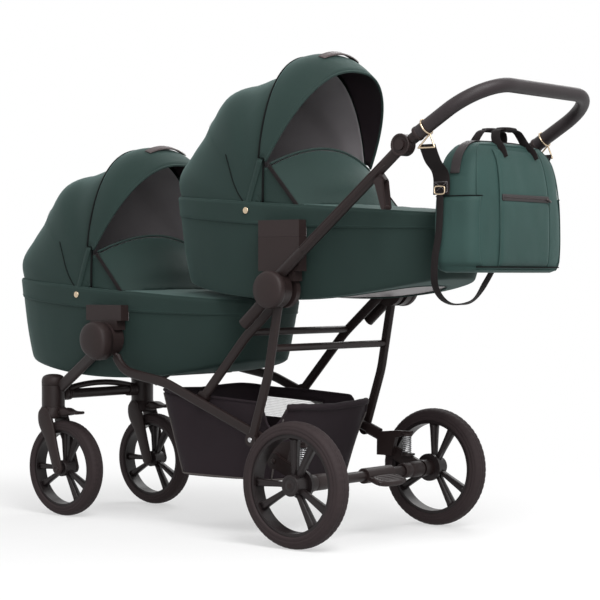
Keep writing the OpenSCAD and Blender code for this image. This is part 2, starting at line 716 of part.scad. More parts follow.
// basket
basket_top_l = 450;
basket_low_l = 330;
basket_x = -330;
basket_fall = 26;
basket_low_share = 0.9;
basket_e = 6;
basket_t = 3;
function basket_ring(f, inset, k, up) = [for (i = [0:around - 1]) let (t = i * 360 / around,
  a = k * (mix(basket_low_l, basket_top_l, f) / 2 - inset),
  b = k * (mix(basket_low_share, 1, f) * basket_w / 2 - inset),
  p = plan(a, b, basket_e, t), fall = f * basket_fall * p[0] / basket_top_l)
  [basket_x + p[0], p[1], basket_z + f * basket_h - fall + up]];
round_share = 0.93;
module basket() place() color("black") loft([basket_ring(0, 0, 0.05, 0),
  basket_ring(0, 0, round_share, 0), basket_ring(0.04, 0, 1, 0), basket_ring(0.5, 0, 1, 0),
  basket_ring(1, 0, 1, 0), basket_ring(1, basket_t, 1, 0), basket_ring(0.5, basket_t, 1, 0),
  basket_ring(0.04, basket_t, 1, 0), basket_ring(0, basket_t, round_share, basket_t),
  basket_ring(0, basket_t, 0.05, basket_t)]);

// carrycots, in their own frame: x = 0 at mid length, z = 0 at the lowest point of the base
long_e = 0.8;
wide_e = 0.7;
function rim_at(x) = mix(rim_head, rim_foot, (x + cot_a) / cot_l);
function low_at(x) = rocker * pow(x / base_a, 2);
function half_at(x) = cot_b * pow(max(0, 1 - pow(abs(x) / cot_a, plan_e)), 1 / plan_e);
function cot_ring(f, inset, k, up) = [for (i = [0:around - 1]) let (t = i * 360 / around,
  a = k * (mix(base_a, cot_a, pow(f, long_e)) - inset),
  b = k * (mix(base_b, cot_b, pow(f, wide_e)) - inset),
  p = plan(a, b, plan_e, t)) [p[0], p[1], mix(low_at(p[0]), rim_at(p[0]), f) + up]];
hem_share = 0.06;
top_share = 0.98;

module cot_cover() color("darkslategray") hoop([
  for (f = [hem_share, 0.2, 0.4, 0.7, 1]) cot_ring(f, 0, 1, 0),
  for (f = [1, 0.7, 0.4, 0.2, hem_share]) cot_ring(f, cloth, 1, 0)]);

module cot_tub() color("gainsboro") {
  o = cloth + play;
  i = o + shell;
  loft([cot_ring(0, o, 0.05, 0), cot_ring(0, o, 0.55, 0), cot_ring(0, o, 0.93, 0),
    cot_ring(hem_share, o, 1, 0), cot_ring(0.4, o, 1, 0), cot_ring(0.7, o, 1, 0),
    cot_ring(top_share, o, 1, 0), cot_ring(top_share, i, 1, 0), cot_ring(0.7, i, 1, 0),
    cot_ring(0.4, i, 1, 0), cot_ring(hem_share, i, 1, shell), cot_ring(0, i, 0.93, shell),
    cot_ring(0, i, 0.55, shell), cot_ring(0, i, 0.05, shell)]);
  for (s = [-1, 1]) side(s) translate([cot_hub - bracket_l / 2, side_y - tube_t / 2 + riser_y, bracket_z])
    cube([bracket_l, leg_out - side_y + tube_t / 2 - riser_y, bracket_h]);
}

pad_h = 42;
pad_gap = 8;
pad_crown = 6;
pad_up = 1.2;
module cot_mattress() color("white") {
  o = cloth + shell + pad_gap;
  up = shell + pad_up;
  loft([cot_ring(0, o, 0.05, up), cot_ring(0, o, 0.6, up), cot_ring(0, o, 0.92, up),
    cot_ring(0.05, o, 0.97, up),
    cot_ring(0.05, o, 0.985, up + pad_h / 2), cot_ring(0.05, o, 0.95, up + pad_h - pad_crown),
    cot_ring(0.05, o, 0.85, up + pad_h), cot_ring(0.02, o, 0.5, up + pad_h + pad_crown),
    cot_ring(0, o, 0.05, up + pad_h + 2 * pad_crown)]);
}

apron_steps = [0, 0.12, 0.3, 0.5, 0.68, 0.82, 0.92, 0.98, 0.998];
across = [1, 0.92, 0.75, 0.5, 0.25, 0, -0.25, -0.5, -0.75, -0.92, -1];
apron_x = 84;
function apron_pt(u, j, up) = let (xc = apron_x + (cot_a - apron_x) * u,
  x = xc + (1 - u) * flap_bulge * (1 - j * j),
  y = j * half_at(xc)) [x, y, rim_at(x) + play + up * apron_t + apron_crown * (1 - j * j)];
module cot_apron() color("darkslategray") sheet([for (u = apron_steps) concat(
  [for (j = across) apron_pt(u, j, 1)], [for (i = [len(across) - 1:-1:0]) apron_pt(u, across[i], 0)])]);

flap_steps = [0, 0.15, 0.4, 0.65, 0.85, 1];
flap_w_share = 0.98;
flap_top_share = 0.965;
flap_fall_share = 0.28;
function flap_pt(v, j, s) = let (
  w = mix(flap_w_share, flap_top_share, v) * cot_b,
  fat = flap_t / 2 * (0.35 + 0.65 * (1 - j * j)) * (0.5 + 0.5 * sin(180 * min(1, v + 0.1))),
  x = flap_x - flap_lean * v + flap_bulge * (1 - j * j) * (1 - 0.2 * v + 0.6 * sin(180 * v)),
  z = rim_at(flap_x) + play + apron_crown * (1 - j * j) + flap_h * v * (1 - flap_fall_share * j * j))
  [x + s * fat, j * w, z];
gusset_x = -20;
gusset_t = 2.5;
gusset_y = flap_top_share * cot_b;
gusset_gap = 4.5;
// the flap, and at each side the cloth between it and the hood
module cot_flap() color("darkslategray") {
  low_z = rim_at(flap_x) + 2 * play;
  steep = flap_h * (1 - flap_fall_share) / flap_lean;
  sheet([for (v = flap_steps) concat(
    [for (i = [len(across) - 1:-1:0]) flap_pt(v, across[i], 1)], [for (j = across) flap_pt(v, j, -1)])]);
  for (s = [-1, 1]) side(s) translate([0, gusset_y, 0]) rotate([90, 0, 0]) linear_extrude(gusset_t)
    polygon([[flap_x - gusset_gap, low_z], [gusset_x, low_z + (flap_x - gusset_x - gusset_gap) * steep],
      [gusset_x, rim_at(gusset_x) + 2 * play]]);
}

// hood: bows that fan out from the rim, from the one lying on the rim to the standing one
rim_slope = atan((rim_head - rim_foot) / cot_l);
bow_x = hood_front_x - hinge_back_l;
bow_z = rim_at(bow_x) + 2 * play;
hood_l = cot_a + bow_x;
hood_angles = [180 - rim_slope, 167, 156, 145, 136, 124, 111, 99, 90];
hood_shares = [1, 1.034, 0.95, 0.896, 0.913, 0.947, 0.893, 0.889];
hood_es = [2.8, 3, 2.9, 2.9, 2.93, 2.93, 2.67, 2.67, 2.4];
hood_steps = [2, 8, 16, 26, 38, 50, 63, 76, 90, 104, 117, 130, 142, 154, 164, 172, 178];
hood_t = 4;
bow_e = 2.4;
function hood_pt(i, t, inset) = let (e = hood_es[i],
  r = (i < len(hood_shares) ? hood_shares[i] * hood_l : hood_h) - inset,
  a = r * pow(sin(t), 2 / e), y = (cot_b - inset) * pw(cos(t), 2 / e))
  [bow_x + a * cos(hood_angles[i]), y, bow_z + a * sin(hood_angles[i])];
module cot_hood_back() color("darkslategray") sheet([for (i = [0:len(hood_angles) - 1]) concat(
  [for (t = hood_steps) hood_pt(i, t, cloth)],
  [for (k = [len(hood_steps) - 1:-1:0]) hood_pt(i, hood_steps[k], cloth + hood_t)])]);

// visor bow: swings back over the rear of the hood about the hinge line
visor_steps = [0, 0.25, 0.5, 0.75, 1];
visor_arch = [16, 21, 28, 37, 48, 61, 75, 90, 105, 119, 132, 143, 152, 159, 164];
visor_w = 9;
visor_back_l = 42;
visor_front_slope = 62;
visor_least_slope = 4;
function visor_pt(u, t, inset) = let (r = visor_r + visor_bulge * sin(180 * u) - inset,
  w = cot_b + visor_w - inset, a = r * pow(sin(t), 2 / bow_e), y = w * pw(cos(t), 2 / bow_e),
  f = acos(visor_back_l / a), g = mix(f, min(f - visor_least_slope, visor_front_slope), u))
  [a * cos(g) - hinge_back_l, y, a * sin(g) + hinge_z];
visor_in = 0.7;
visor_arm_y = cot_b - visor_in;
visor_arm_t = 3.5;
visor_arm_w = 13;
visor_arm_l = (visor_r - visor_t) * pow(sin(visor_arch[0]), 2 / bow_e) + play;
visor_arm_slope = 70;
band_half = 70;
band_rise = 12;
band_drop = 8.5;
band_t = 4;
band_w = 26;
band_slope = 72;
module carry_band() {
  top = visor_r + visor_bulge + band_rise;
  sag = band_rise + band_drop;
  r = (band_half * band_half + sag * sag) / (2 * sag);
  reach = asin(band_half / r);
  translate([-hinge_back_l, 0, hinge_z]) rotate([0, -band_slope, 0]) translate([top - r, 0, 0])
    rotate([0, 0, -reach]) rotate_extrude(angle = 2 * reach) translate([r, 0])
      square([band_t, band_w], center = true);
}
module cot_hood_front() color("darkslategray") {
  sheet([for (u = visor_steps) concat([for (t = visor_arch) visor_pt(u, t, 0)],
    [for (i = [len(visor_arch) - 1:-1:0]) visor_pt(u, visor_arch[i], visor_t)])]);
  carry_band();
  for (s = [-1, 1]) side(s) translate([-hinge_back_l, visor_arm_y, hinge_z]) union() {
    along_y(0, visor_arm_t, visor_arm_w);
    rotate([0, -visor_arm_slope, 0]) translate([0, run, -visor_arm_w / 2])
      cube([visor_arm_l, visor_arm_t - 2 * run, visor_arm_w]);
  }
}

module front_cot() place() translate([front_cot_x, 0, front_cot_z]) children();
module rear_cot() place() translate([rear_cot_x, 0, rear_cot_z]) children();

side_tube(-1);  // side_tube_left
side_tube(1);  // side_tube_right
front_beam();
front_legs();
front_hub(-1);  // front_hub_left
front_hub(1);  // front_hub_right
rear_leg(-1);  // rear_leg_left
rear_leg(1);  // rear_leg_right
brace(-1);  // brace_left
brace(1);  // brace_right
upper_crossbar();
lower_crossbar();
rear_hub(-1);  // rear_hub_left
rear_hub(1);  // rear_hub_right
risers();
suspension_bracket(-1);  // suspension_bracket_left
suspension_bracket(1);  // suspension_bracket_right
basket();
rear_axle();
springs();
brake_pedal();
rear_tyre(-1);  // rear_tyre_left
rear_tyre(1);  // rear_tyre_right
rear_rim(-1);  // rear_rim_left
rear_rim(1);  // rear_rim_right
front_tyre(-1);  // front_tyre_left
front_tyre(1);  // front_tyre_right
front_rim(-1);  // front_rim_left
front_rim(1);  // front_rim_right
fork(-1);  // fork_left
fork(1);  // fork_right
swivel_lock(-1);  // swivel_lock_left
swivel_lock(1);  // swivel_lock_right
handle_tube(-1);  // handle_tube_left
handle_tube(1);  // handle_tube_right
fold_latch(-1);  // fold_latch_left
fold_latch(1);  // fold_latch_right
tilt_button(-1);  // tilt_button_left
tilt_button(1);  // tilt_button_right
handle_bar();
handle_grip();
bag_rings();
bag_body();
bag_handles();
bag_strap();
front_cot() cot_tub();  // front_tub
front_cot() cot_cover();  // front_cover
front_cot() cot_mattress();  // front_mattress
front_cot() cot_apron();  // front_apron
front_cot() cot_flap();  // front_flap
front_cot() cot_hood_back();  // front_hood_back
front_cot() cot_hood_front();  // front_hood_front
rear_cot() cot_tub();  // rear_tub
rear_cot() cot_cover();  // rear_cover
rear_cot() cot_mattress();  // rear_mattress
rear_cot() cot_apron();  // rear_apron
rear_cot() cot_flap();  // rear_flap
rear_cot() cot_hood_back();  // rear_hood_back
rear_cot() cot_hood_front();  // rear_hood_front
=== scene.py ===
import bmesh
import bpy
import numpy as np
from math import acos, atan, atan2, copysign, cos, degrees, exp, hypot, pi, radians, sin, sqrt
from mathutils import Matrix, Vector, noise
from numpy import linspace


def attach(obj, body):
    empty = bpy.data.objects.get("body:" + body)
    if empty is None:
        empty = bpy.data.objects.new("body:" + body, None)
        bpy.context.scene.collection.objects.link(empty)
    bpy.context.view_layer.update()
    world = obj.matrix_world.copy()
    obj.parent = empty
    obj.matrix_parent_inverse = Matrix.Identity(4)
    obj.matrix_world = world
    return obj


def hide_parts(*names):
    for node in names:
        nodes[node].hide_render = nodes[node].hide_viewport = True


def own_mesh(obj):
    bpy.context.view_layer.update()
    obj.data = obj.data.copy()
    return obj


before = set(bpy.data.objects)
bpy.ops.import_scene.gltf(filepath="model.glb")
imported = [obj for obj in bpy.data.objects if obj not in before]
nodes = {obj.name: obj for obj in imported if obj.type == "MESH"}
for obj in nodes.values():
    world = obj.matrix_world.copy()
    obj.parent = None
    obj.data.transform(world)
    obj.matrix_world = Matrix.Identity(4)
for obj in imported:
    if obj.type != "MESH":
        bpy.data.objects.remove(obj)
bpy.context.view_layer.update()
scene = bpy.context.scene
scene.view_settings.view_transform = "Standard"

# camera at the photograph's viewing angle
camera = bpy.data.objects.new("camera", bpy.data.cameras.new("camera"))
camera.data.lens = 114.36
camera.data.sensor_width = 36
camera.location = (3.1081, -3.7483, 0.6366)
camera.rotation_euler = (Vector((0.0898, 0, 0.5793)) - camera.location).to_track_quat("-Z", "Y").to_euler()
scene.collection.objects.link(camera)
scene.camera = camera

# sizes shared with the part, in millimetres; the part's x runs from the rear axle
SHIFT = 305.0129
SIDES = (("left", -1), ("right", 1))
COTS = {"front": (-709.0, 377.3), "rear": (-124.0, 585.6)}
COT_A, COT_B, BASE_A, BASE_B = 419.0, 212.0, 394.0, 179.0
RIM_HEAD, RIM_FOOT, ROCKER = 256.0, 194.0, 49.5
PLAN_E, BOW_E = 3.0, 2.4
HINGE = (-90.0, 214.0)
BOW_X = -39.0
# axle x, middle plane y, radius, width, hub radius
WHEELS = {"rear": (0, 285, 150, 48, 25.5), "front": (-880, 173, 127, 44, 21.6)}
FORK_X, FORK_Y = -928, 173
TILT_X, TILT_Z = 285.468, 935.019


# materials
def node(tree, kind, inputs=(), **settings):
    """A new shader node; inputs given as sockets are linked, the others are set."""
    n = tree.nodes.new("ShaderNode" + kind)
    for key, value in settings.items():
        setattr(n, key, value)
    for key, value in dict(inputs).items():
        if isinstance(value, bpy.types.NodeSocket):
            tree.links.new(value, n.inputs[key])
        else:
            n.inputs[key].default_value = value
    return n


def material(name, color, rough, second=None, mix_scale=14.0, metallic=0.0, grain=0.0, grain_scale=900.0,
             weave=0.0, pitch=0.0011, sheen=0.0, sheen_tint=(1, 1, 1), specular=0.5, blotch=0.0,
             blotch_scale=25.0):
    """Two tones mixed by noise, with a woven or a grained surface."""
    m = bpy.data.materials.new(name)
    m.use_nodes = True
    t = m.node_tree
    place = node(t, "TexCoord").outputs["Object"]
    cloud = node(t, "TexNoise", {"Vector": place, "Scale": mix_scale, "Detail": 6}).outputs["Fac"]
    ramp = node(t, "ValToRGB", {"Fac": cloud})
    tones = (second or tuple(0.8 * c for c in color), color)
    for stop, position, tone in zip(ramp.color_ramp.elements, (0.3, 0.7), tones):
        stop.position = position
        stop.color = (*tone, 1)
    tint = ramp.outputs["Color"]
    height = None
    if weave:
        waves = []
        for turn in (0.0, radians(90)):
            way = node(t, "Mapping", {"Vector": place, "Rotation": (turn, 0.0, turn)}).outputs["Vector"]
            wave = node(t, "TexWave", {"Vector": way, "Scale": 0.35 / pitch, "Distortion": 0.6, "Detail": 1},
                        wave_type="BANDS", bands_direction="DIAGONAL")
            waves.append(wave.outputs["Fac"])
        height = node(t, "Math", {0: waves[0], 1: waves[1]}, operation="MULTIPLY").outputs["Value"]
        tint = node(t, "Mix", {"A": tint, "B": height, "Factor": 0.22}, data_type="RGBA",
                    blend_type="MULTIPLY").outputs["Result"]
    elif grain:
        height = node(t, "TexNoise", {"Vector": place, "Scale": grain_scale, "Detail": 3}).outputs["Fac"]
    shade = t.nodes["Principled BSDF"].inputs
    if height is not None:
        deep = 0.0006 if weave else 0.0004
        bump = node(t, "Bump", {"Height": height, "Strength": weave or grain, "Distance": deep})
        if blotch:
            broad = node(t, "TexNoise", {"Vector": place, "Scale": blotch_scale, "Detail": 2}).outputs["Fac"]
            bump = node(t, "Bump", {"Height": broad, "Normal": bump.outputs["Normal"], "Strength": blotch,
                                    "Distance": 0.004})
        t.links.new(bump.outputs["Normal"], shade["Normal"])
    gloss = node(t, "MapRange", {"Value": cloud, "To Min": max(0.02, rough - 0.08),
                                 "To Max": min(1.0, rough + 0.08)})
    t.links.new(gloss.outputs["Result"], shade["Roughness"])
    t.links.new(tint, shade["Base Color"])
    shade["Metallic"].default_value = metallic
    shade["Specular IOR Level"].default_value = specular
    shade["Sheen Weight"].default_value = sheen
    shade["Sheen Roughness"].default_value = 0.45
    shade["Sheen Tint"].default_value = (*sheen_tint, 1)
    return m


def two_tone(m, limit, other):
    """Gives the material another colour beyond the limit from the centre plane."""
    t = m.node_tree
    base = t.nodes["Principled BSDF"].inputs["Base Color"]
    y = node(t, "SeparateXYZ", {"Vector": node(t, "TexCoord").outputs["Object"]}).outputs["Y"]
    reach = node(t, "Math", {0: y}, operation="ABSOLUTE").outputs["Value"]
    past = node(t, "Math", {0: reach, 1: limit}, operation="GREATER_THAN").outputs["Value"]
    tone = node(t, "Mix", {"A": base.links[0].from_socket, "B": (*other, 1), "Factor": past},
                data_type="RGBA")
    t.links.new(tone.outputs["Result"], base)
    return m


MOULDED = (0.0250, 0.0158, 0.0154)
GREEN = material("green_cloth", (0.0200, 0.0402, 0.0351), 0.70, (0.0163, 0.0332, 0.0290), 7.0, weave=0.35,
                 sheen=0.22, sheen_tint=(0.6, 0.9, 0.85), specular=0.20, blotch=0.12, blotch_scale=16)
GREEN_BAG = material("bag_cloth", (0.0370, 0.0820, 0.0735), 0.62, (0.0300, 0.0670, 0.0600), 9.0, weave=0.3,
                     sheen=0.10, sheen_tint=(0.6, 0.95, 0.9), specular=0.22, blotch=0.25, blotch_scale=22)
PIPING = material("dark_piping", (0.0080, 0.0090, 0.0090), 0.8, weave=0.2, pitch=0.0007, specular=0.08)
THREAD = material("thread", (0.046, 0.090, 0.080), 0.7, weave=0.3, pitch=0.0005, specular=0.2)
LINING = material("grey_lining", (0.400, 0.372, 0.390), 0.85, (0.345, 0.320, 0.337), 10, weave=0.4,
                  pitch=0.0013, sheen=0.15)
FRAME = material("powder_coat", (0.0205, 0.0128, 0.0124), 0.40, (0.0170, 0.0106, 0.0103), 30, grain=0.25,
                 grain_scale=1400, specular=0.23)
PLASTIC = material("moulded_plastic", MOULDED, 0.5, (0.0208, 0.0132, 0.0128), 22, grain=0.4,
                   grain_scale=1100, specular=0.24)
RIM = material("rim_plastic", (0.0200, 0.0150, 0.0155), 0.38, (0.0165, 0.0124, 0.0128), 30, grain=0.2,
               grain_scale=1300, specular=0.24)
TYRE = material("tyre_rubber", (0.0370, 0.0264, 0.0274), 0.7, (0.0306, 0.0218, 0.0227), 26, grain=0.5,
                grain_scale=700, specular=0.2)
LEATHER = material("grip_leatherette", (0.0260, 0.0195, 0.0212), 0.5, (0.0205, 0.0152, 0.0166), 40, grain=0.7,
                   grain_scale=520, specular=0.32)
BAND = material("band_leatherette", (0.0720, 0.0520, 0.0520), 0.5, (0.0560, 0.0400, 0.0400), 40, grain=0.6,
                grain_scale=560)
WEBBING = material("black_webbing", (0.0150, 0.0112, 0.0115), 0.72, weave=0.7, pitch=0.0022, sheen=0.03,
                   specular=0.15)
BLACK_CLOTH = material("basket_cloth", (0.0320, 0.0225, 0.0275), 0.76, (0.0260, 0.0182, 0.0224), 9, weave=0.4,
                       pitch=0.0014, sheen=0.03, specular=0.14, blotch=0.3, blotch_scale=14)
NET = material("pale_net", (0.62, 0.61, 0.59), 0.6, (0.50, 0.49, 0.48), 60, weave=0.9, pitch=0.004)
GREY_PIPE = material("grey_piping", (0.10, 0.085, 0.08), 0.6, weave=0.2)
MATTRESS = material("cotton", (0.70, 0.69, 0.66), 0.85, (0.62, 0.61, 0.58), 8, weave=0.3, sheen=0.2)
PALE_SHELL = material("pale_shell", (0.30, 0.275, 0.28), 0.42, (0.26, 0.24, 0.245), 6, grain=0.3,
                      grain_scale=800, specular=0.25)
STEEL = material("spring_steel", (0.55, 0.55, 0.56), 0.28, metallic=1.0, grain=0.1)
GOLD = material("pale_gold", (0.62, 0.50, 0.36), 0.25, (0.55, 0.43, 0.30), 60, metallic=1.0, grain=0.05)
ZIP = material("zip_tape", (0.030, 0.023, 0.024), 0.6, weave=0.5, pitch=0.0012)
TEETH = material("zip_teeth", (0.05, 0.035, 0.035), 0.35, metallic=0.3, grain=0.1)


def dress(mat, *names):
    for k in names:
        nodes[k].data.materials.clear()
        nodes[k].data.materials.append(mat)


def both(*names):
    return [f"{k}_{s}" for k in names for s, _ in SIDES]


dress(FRAME, "front_legs", "front_beam", "upper_crossbar", "lower_crossbar", "rear_axle", "handle_bar",
      *both("side_tube", "rear_leg", "brace", "handle_tube"))
dress(PLASTIC, "risers", "brake_pedal", *both("front_hub", "rear_hub", "suspension_bracket", "fork",
                                              "swivel_lock", "fold_latch", "tilt_button"))
dress(RIM, *both("rear_rim", "front_rim"))
dress(TYRE, *both("rear_tyre", "front_tyre"))
dress(LEATHER, "handle_grip")
dress(GOLD, "bag_rings")
dress(STEEL, "springs")
# the tubs are pale, with black brackets on their sides
dress(two_tone(PALE_SHELL, 0.20885, MOULDED), "front_tub", "rear_tub")


# places and curves
def at(x, y, z):
    """A place given in the part's millimetres, in the row frame's metres."""
    return ((x + SHIFT) / 1000, y / 1000, z / 1000)


def row(p, cot):
    return at(p[0] + cot[0], p[1], p[2] + cot[1])


def circle(n):
    return linspace(0, 2 * pi, n, endpoint=False)


def clamp(v):
    return min(1.0, max(0.0, v))


def bell(v, wide):
    return exp(-(v / wide) ** 2)


def signed_power(v, e):
    return copysign(abs(v) ** e, v)


def oblong(a, b, e, t):
    """A point on a rounded oblong with half axes a and b."""
    return a * signed_power(cos(t), 2 / e), b * signed_power(sin(t), 2 / e)


def waver(x, y, z, scale, seed=0.0):
    return noise.noise(Vector((x * scale + seed, y * scale - seed, z * scale + 2 * seed)))


def along(p):
    """The distance along points, from the first to each."""
    return np.concatenate([[0], np.cumsum(np.linalg.norm(np.diff(p, axis=0), axis=1))])


def even_turn(outline, n, fine=2001):
    """Angles spaced evenly along a closed outline."""
    t = linspace(0, 2 * pi, fine)
    s = along(np.array([outline(a) for a in t]))
    return np.interp(linspace(0, s[-1], n, endpoint=False), s, t)


def resample(pts, step, closed=False):
    p = np.array(pts, float)
    if closed:
        p = np.vstack([p, p[:1]])
    s = along(p)
    n = max(2, int(round(s[-1] / step)))
    q = linspace(0, s[-1], n + 1)
    out = np.stack([np.interp(q, s, p[:, k]) for k in range(3)], 1)
    return out[:-1] if closed else out


def spline(keys, values, where):
    """Smooth curve through values given at rising keys."""
    k, v = np.array(keys, float), np.array(values, float)
    m = np.zeros_like(v)
    m[1:-1] = (v[2:] - v[:-2]) / (k[2:] - k[:-2])
    m[0], m[-1] = (v[1] - v[0]) / (k[1] - k[0]), (v[-1] - v[-2]) / (k[-1] - k[-2])
    i = int(min(max(np.searchsorted(k, where) - 1, 0), len(k) - 2))
    h = k[i + 1] - k[i]
    t = (where - k[i]) / h
    return (v[i] * (2 * t ** 3 - 3 * t * t + 1) + h * m[i] * (t ** 3 - 2 * t * t + t)
            + v[i + 1] * (3 * t * t - 2 * t ** 3) + h * m[i + 1] * (t ** 3 - t * t))


def curve(pts, n):
    p = np.array(pts, float)
    s = along(p)
    return np.array([[spline(s, p[:, k], a) for k in range(3)] for a in linspace(0, s[-1], n)])


def frames_along(pts, closed=False):
    """Points of a line with its direction and two normals at each."""
    p = np.array(pts, float)
    after = np.roll(p, -1, 0) if closed else np.vstack([p[1:], 2 * p[-1:] - p[-2:-1]])
    before = np.roll(p, 1, 0) if closed else np.vstack([2 * p[:1] - p[1:2], p[:-1]])
    d = after - before
    d /= np.linalg.norm(d, axis=1)[:, None]
    ref = np.array([0, 0, 1.0]) if abs(d[0][2]) < 0.9 else np.array([1.0, 0, 0])
    u = np.cross(d[0], ref)
    us = []
    for t in d:
        u = u - t * (u @ t)
        u /= np.linalg.norm(u)
        us.append(u)
    us = np.array(us)
    return p, d, us, np.cross(d, us)


# meshes, each as points and faces
def lattice(rows, wrap_u=False, wrap_v=False):
    """Faces over a grid of points: rows along u, points along v."""
    r, c = len(rows), len(rows[0])
    f = []
    for i in range(r if wrap_u else r - 1):
        for k in range(c if wrap_v else c - 1):
            a, b = i * c, (i + 1) % r * c
            f.append((a + k, b + k, b + (k + 1) % c, a + (k + 1) % c))
    return [p for line in rows for p in line], f


def joined(meshes):
    """One mesh of several."""
    verts, faces = [], []
    for v, f in meshes:
        faces += [tuple(len(verts) + i for i in face) for face in f]
        verts += v
    return verts, faces


def hoop(rows):
    """A loft through rings that comes back to the first."""
    return lattice(rows, wrap_u=True, wrap_v=True)


def closed_loft(rows):
    """A loft through rings, closed at both ends."""
    v, f = lattice(rows, wrap_v=True)
    n = len(rows[0])
    return v, f + [tuple(range(n)), tuple(range(len(v) - n, len(v)))]


def tube(pts, r, closed=False, sides=8):
    line = frames_along(pts, closed)
    rows = [[p + r * (cos(a) * u + sin(a) * w) for a in circle(sides)] for p, _, u, w in zip(*line)]
    v, f = lattice(rows, wrap_u=closed, wrap_v=True)
    if not closed:
        end = len(v)
        v += [line[0][0], line[0][-1]]
        for k in range(sides):
            pair = (k, (k + 1) % sides)
            f.append((end, *pair))
            f.append((end + 1, *(end - sides + i for i in pair)))
    return v, f


def stitches(pts, pitch=0.0052, length=0.0034, r=0.00045, closed=False):
    """Short rounded stitches along points."""
    shape = ((-0.5, 0.25), (-0.25, 1.0), (0.25, 1.0), (0.5, 0.25))
    line = zip(*frames_along(resample(pts, pitch, closed), closed))
    return joined([closed_loft([[p + d * length * s + r * k * (cos(t) * u + sin(t) * w)
                                 for t in circle(5)] for s, k in shape]) for p, d, u, w in line])


def turned(prof, centre, side, n=48, oval=None, ring=False):
    """Turned about a line along y; prof is (radius, outward distance), and a ring is hollow."""
    rows = []
    for radius, out in prof:
        reach = [(radius * (oval(t) if oval else 1.0), t) for t in circle(n)]
        rows.append([at(centre[0] + r * cos(t), side * out, centre[1] + r * sin(t))
                     for r, t in reach])
    return hoop(rows) if ring else closed_loft(rows)


# pieces
def add(name, mesh, mats, index=None):
    me = bpy.data.meshes.new(name)
    me.from_pydata([tuple(v) for v in mesh[0]], [], mesh[1])
    for m in (mats if isinstance(mats, list) else [mats]):
        me.materials.append(m)
    if index is not None:
        me.polygons.foreach_set("material_index", index)
    me.polygons.foreach_set("use_smooth", [True] * len(me.polygons))
    bm = bmesh.new()
    bm.from_mesh(me)
    bmesh.ops.recalc_face_normals(bm, faces=bm.faces)
    bm.to_mesh(me)
    bm.free()
    o = bpy.data.objects.new(name, me)
    scene.collection.objects.link(o)
    return o


def keep(o, body, slot, *gone):
    """Sets a piece on its body; gone names the solids that it stands for."""
    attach(o, body)
    if gone:
        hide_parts(*gone)
    return o


def put(name, mesh, mat, body, slot, *gone):
    return keep(add(name, mesh, mat), body, slot, *gone)


def moulded(name, mesh, body="chassis"):
    put(name, mesh, PLASTIC, body, "plastic")


def cloth(name, us, vs, outside, inside, mat_out, mat_in, wrap=False):
    """A cloth of two faces, each a function of u and v, joined along its edges."""
    outer = [[outside(u, v) for v in vs] for u in us]
    inner = [[inside(u, v) for v in vs] for u in us]
    r, c = len(outer), len(outer[0])
    verts, faces = lattice(outer + inner[::-1], wrap_u=True, wrap_v=wrap)
    per_row = c if wrap else c - 1
    index = [int(r <= i // per_row < 2 * r - 1) for i in range(len(faces))]
    if not wrap:
        for i in range(r - 1):
            for k in (0, c - 1):
                faces.append(tuple(q * c + k for q in (i, i + 1, 2 * r - 2 - i, 2 * r - 1 - i)))
        index += [0] * (2 * r - 2)
    return add(name, (verts, faces), [mat_out, mat_in], index)


WEB = ((-1, -0.5), (-1, 0.5), (-0.8, 1), (0, 1.1), (0.8, 1), (1, 0.5), (1, -0.5), (0.8, -1), (0, -1.1),
       (-0.8, -1))


def strap(name, pts, wide, width, thick, *gone, n=90):
    """Flat webbing of the bag along points; wide gives the direction of its width at each point."""
    p = curve(pts, n)
    s = along(np.array(pts, float))
    ways = np.array(wide if len(wide) > 1 else wide * len(pts), float)
    ways = np.stack([np.interp(linspace(0, s[-1], n), s, ways[:, k]) for k in range(3)], 1)
    rows = []
    for q, d, w in zip(p, frames_along(p)[1], ways):
        w = w - d * (w @ d)
        w /= np.linalg.norm(w)
        u = np.cross(d, w)
        rows.append([q + w * a * width / 2 + u * b * thick / 2 for a, b in WEB])
    return put(name, closed_loft(rows), WEBBING, "bag", "webbing", *gone)


def puff(o, pressure, cap, voxel, frames):
    """Swells a closed form as a stuffed cloth, and keeps each point near where it was."""
    bpy.context.view_layer.objects.active = o
    rm = o.modifiers.new("remesh", "REMESH")
    rm.mode = "VOXEL"
    rm.voxel_size = voxel
    bpy.ops.object.modifier_apply(modifier=rm.name)
    start = np.array([v.co for v in o.data.vertices])
    cl = o.modifiers.new("cloth", "CLOTH")
    st = cl.settings
    st.quality = 5
    st.mass = 0.15
    st.tension_stiffness = 40
    st.compression_stiffness = 40
    st.shear_stiffness = 20
    st.bending_stiffness = 2.0
    st.use_pressure = True
    st.uniform_pressure_force = pressure
    st.effector_weights.gravity = 0
    cl.point_cache.frame_start = 1
    cl.point_cache.frame_end = frames
    for k in range(1, frames + 1):
        scene.frame_set(k)
    swollen = o.evaluated_get(bpy.context.evaluated_depsgraph_get())
    end = np.array([v.co for v in swollen.to_mesh().vertices])
    swollen.to_mesh_clear()
    o.modifiers.remove(cl)
    scene.frame_set(1)
    d = end - start
    size = np.linalg.norm(d, axis=1)[:, None]
    end = start + d * np.minimum(1, cap / np.maximum(size, 1e-9))
    o.data.vertices.foreach_set("co", end.ravel())
    o.data.update()


def relax(o, rounds):
    bpy.context.view_layer.objects.active = o
    sm = o.modifiers.new("smooth", "SMOOTH")
    sm.factor = 0.5
    sm.iterations = rounds
    bpy.ops.object.modifier_apply(modifier=sm.name)
    o.data.polygons.foreach_set("use_smooth", [True] * len(o.data.polygons))


# carrycot forms, in millimetres from the middle of each carrycot's base
def rim_at(x):
    return RIM_HEAD + (RIM_FOOT - RIM_HEAD) * (x + COT_A) / (2 * COT_A)


def low_at(x):
    return ROCKER * (x / BASE_A) ** 2


